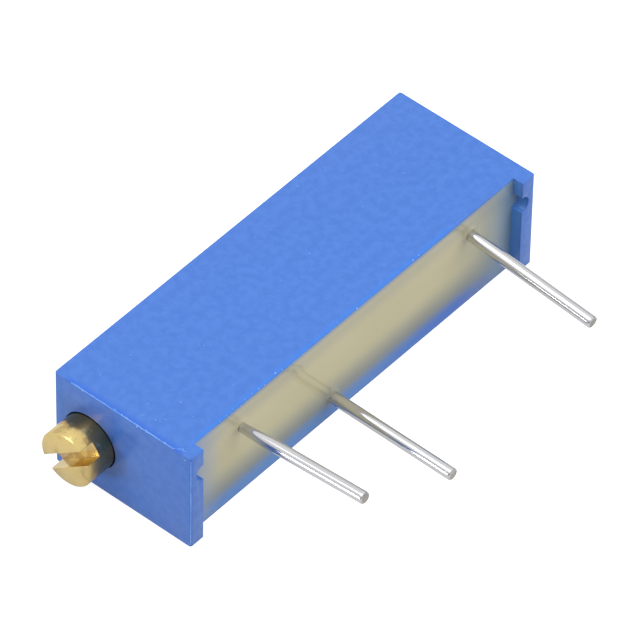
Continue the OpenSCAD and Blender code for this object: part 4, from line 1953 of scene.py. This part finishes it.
@dataclass
class Studio:
    """The camera, the pale floor and the soft light."""

    camera_place: Point = (-139.6973, -120.1521, 198.2689)
    camera_turn: tuple[float, float, float, float] = (0.84472252, 0.33604595, -0.16098469, -0.38418864)
    lens: float = 427.402
    sensor: float = 36.0
    view_span: Span = (0.01, 10.0)
    floor_level: float = -3.52
    floor_reach: float = 3.0
    zenith: float = 1.0
    horizon: Span = (0.1, 0.7)
    horizon_turn: Span = (-0.2, 0.7)
    lift_step: Span = (0.1, 0.9)
    floor_tone: float = 0.55
    floor_glow: float = 0.02
    floor_mirrored: float = 0.27
    floor_seen: float = 0.8
    aim: Point = (0.006, 0.003, 0.0)
    boxes: tuple[Softbox, ...] = (
        Softbox("top_box", (-0.05, 0.06, 0.2), 0.12, 0.09, True),
        Softbox("left_box", (-0.27, 0.135, 0.012), 0.08, 0.27, True),
        Softbox("right_box", (0.2, -0.26, 0.16), 0.45, 0.86, False),
    )

    def build(self) -> None:
        """Sets up the whole studio."""
        self._camera()
        self._floor()
        self._room()
        self._lights()
        bpy.context.scene.view_settings.view_transform = "Standard"
        bpy.context.scene.view_settings.look = "None"

    def _camera(self) -> None:
        """Sets the camera where the photograph was taken from."""
        data = bpy.data.cameras.new("camera")
        data.lens, data.sensor_width = self.lens, self.sensor
        data.clip_start, data.clip_end = self.view_span
        camera = link(bpy.data.objects.new("camera", data))
        camera.location = Vector(self.camera_place) * MM
        camera.rotation_mode = "QUATERNION"
        camera.rotation_quaternion = Quaternion(self.camera_turn)
        bpy.context.scene.camera = camera

    def _floor(self) -> None:
        """Lays the pale floor."""
        level = self.floor_level * MM
        corners = [(x * self.floor_reach, y * self.floor_reach, level) for x, y in ((-1, -1), (1, -1), (1, 1), (-1, 1))]
        floor = make_object("floor", corners, [(0, 1, 2, 3)])
        material = bpy.data.materials.new("pale_floor")
        material.use_nodes = True
        graph = Graph(material.node_tree)
        shader = material.node_tree.nodes["Principled BSDF"]
        path = graph.add("ShaderNodeLightPath")
        glow = graph.ramp(path.outputs["Is Glossy Ray"], 0.0, 1.0, self.floor_glow, self.floor_mirrored)
        inputs = {
            "Base Color": (*[self.floor_tone] * 3, 1),
            "Roughness": 0.9,
            "Specular IOR Level": 0.1,
            "Emission Color": (1, 1, 1, 1),
            "Emission Strength": graph.math(
                "MAXIMUM", glow, graph.product(path.outputs["Is Camera Ray"], self.floor_seen)
            ),
        }
        for label, value in inputs.items():
            graph.feed(shader.inputs[label], value)
        floor.data.materials.append(material)

    def _room(self) -> None:
        """Sets the room's light: bright overhead, dim at eye level before the part."""
        world = bpy.data.worlds.new("room")
        world.use_nodes = True
        graph = Graph(world.node_tree)
        way = graph.add("ShaderNodeSeparateXYZ", None, {0: graph.add("ShaderNodeTexCoord").outputs["Generated"]})
        low = graph.ramp(way.outputs[1], *self.horizon_turn, *self.horizon)
        lift = graph.product(graph.ramp(way.outputs[2], *self.lift_step), graph.math("SUBTRACT", self.zenith, low))
        shade = world.node_tree.nodes["Background"]
        shade.inputs[0].default_value = (1.0, 1.0, 1.0, 1.0)
        graph.feed(shade.inputs[1], graph.math("ADD", low, lift))
        bpy.context.scene.world = world

    def _lights(self) -> None:
        """Hangs the softboxes, each turned towards the part."""
        for box in self.boxes:
            data = bpy.data.lights.new(box.name, "AREA")
            data.size, data.energy = box.edge, box.power
            lamp = link(bpy.data.objects.new(box.name, data))
            lamp.location = box.place
            lamp.rotation_mode = "QUATERNION"
            lamp.rotation_quaternion = (Vector(self.aim) - Vector(box.place)).to_track_quat("-Z", "Y")
            lamp.visible_camera = False
            lamp.visible_glossy = box.mirrored


def main() -> None:
    """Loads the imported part, dresses it and reports each piece."""
    logging.basicConfig(level=logging.INFO, format="%(name)s: %(message)s")
    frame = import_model()
    recipes = Recipes()
    housing = Housing()
    housing.build(recipes)
    potting = Potting()
    potting.build()
    terminals = Terminals()
    terminals.build()
    screw = AdjustingScrew()
    screw.build(recipes)
    Internals().build(frame["nodes"])
    Studio().build()
    for assembly in (housing, potting, terminals, screw):
        for piece in assembly.made:
            LOG.info("%s: %d faces", piece.name, len(piece.data.polygons))


if __name__ == "__main__":
    main()
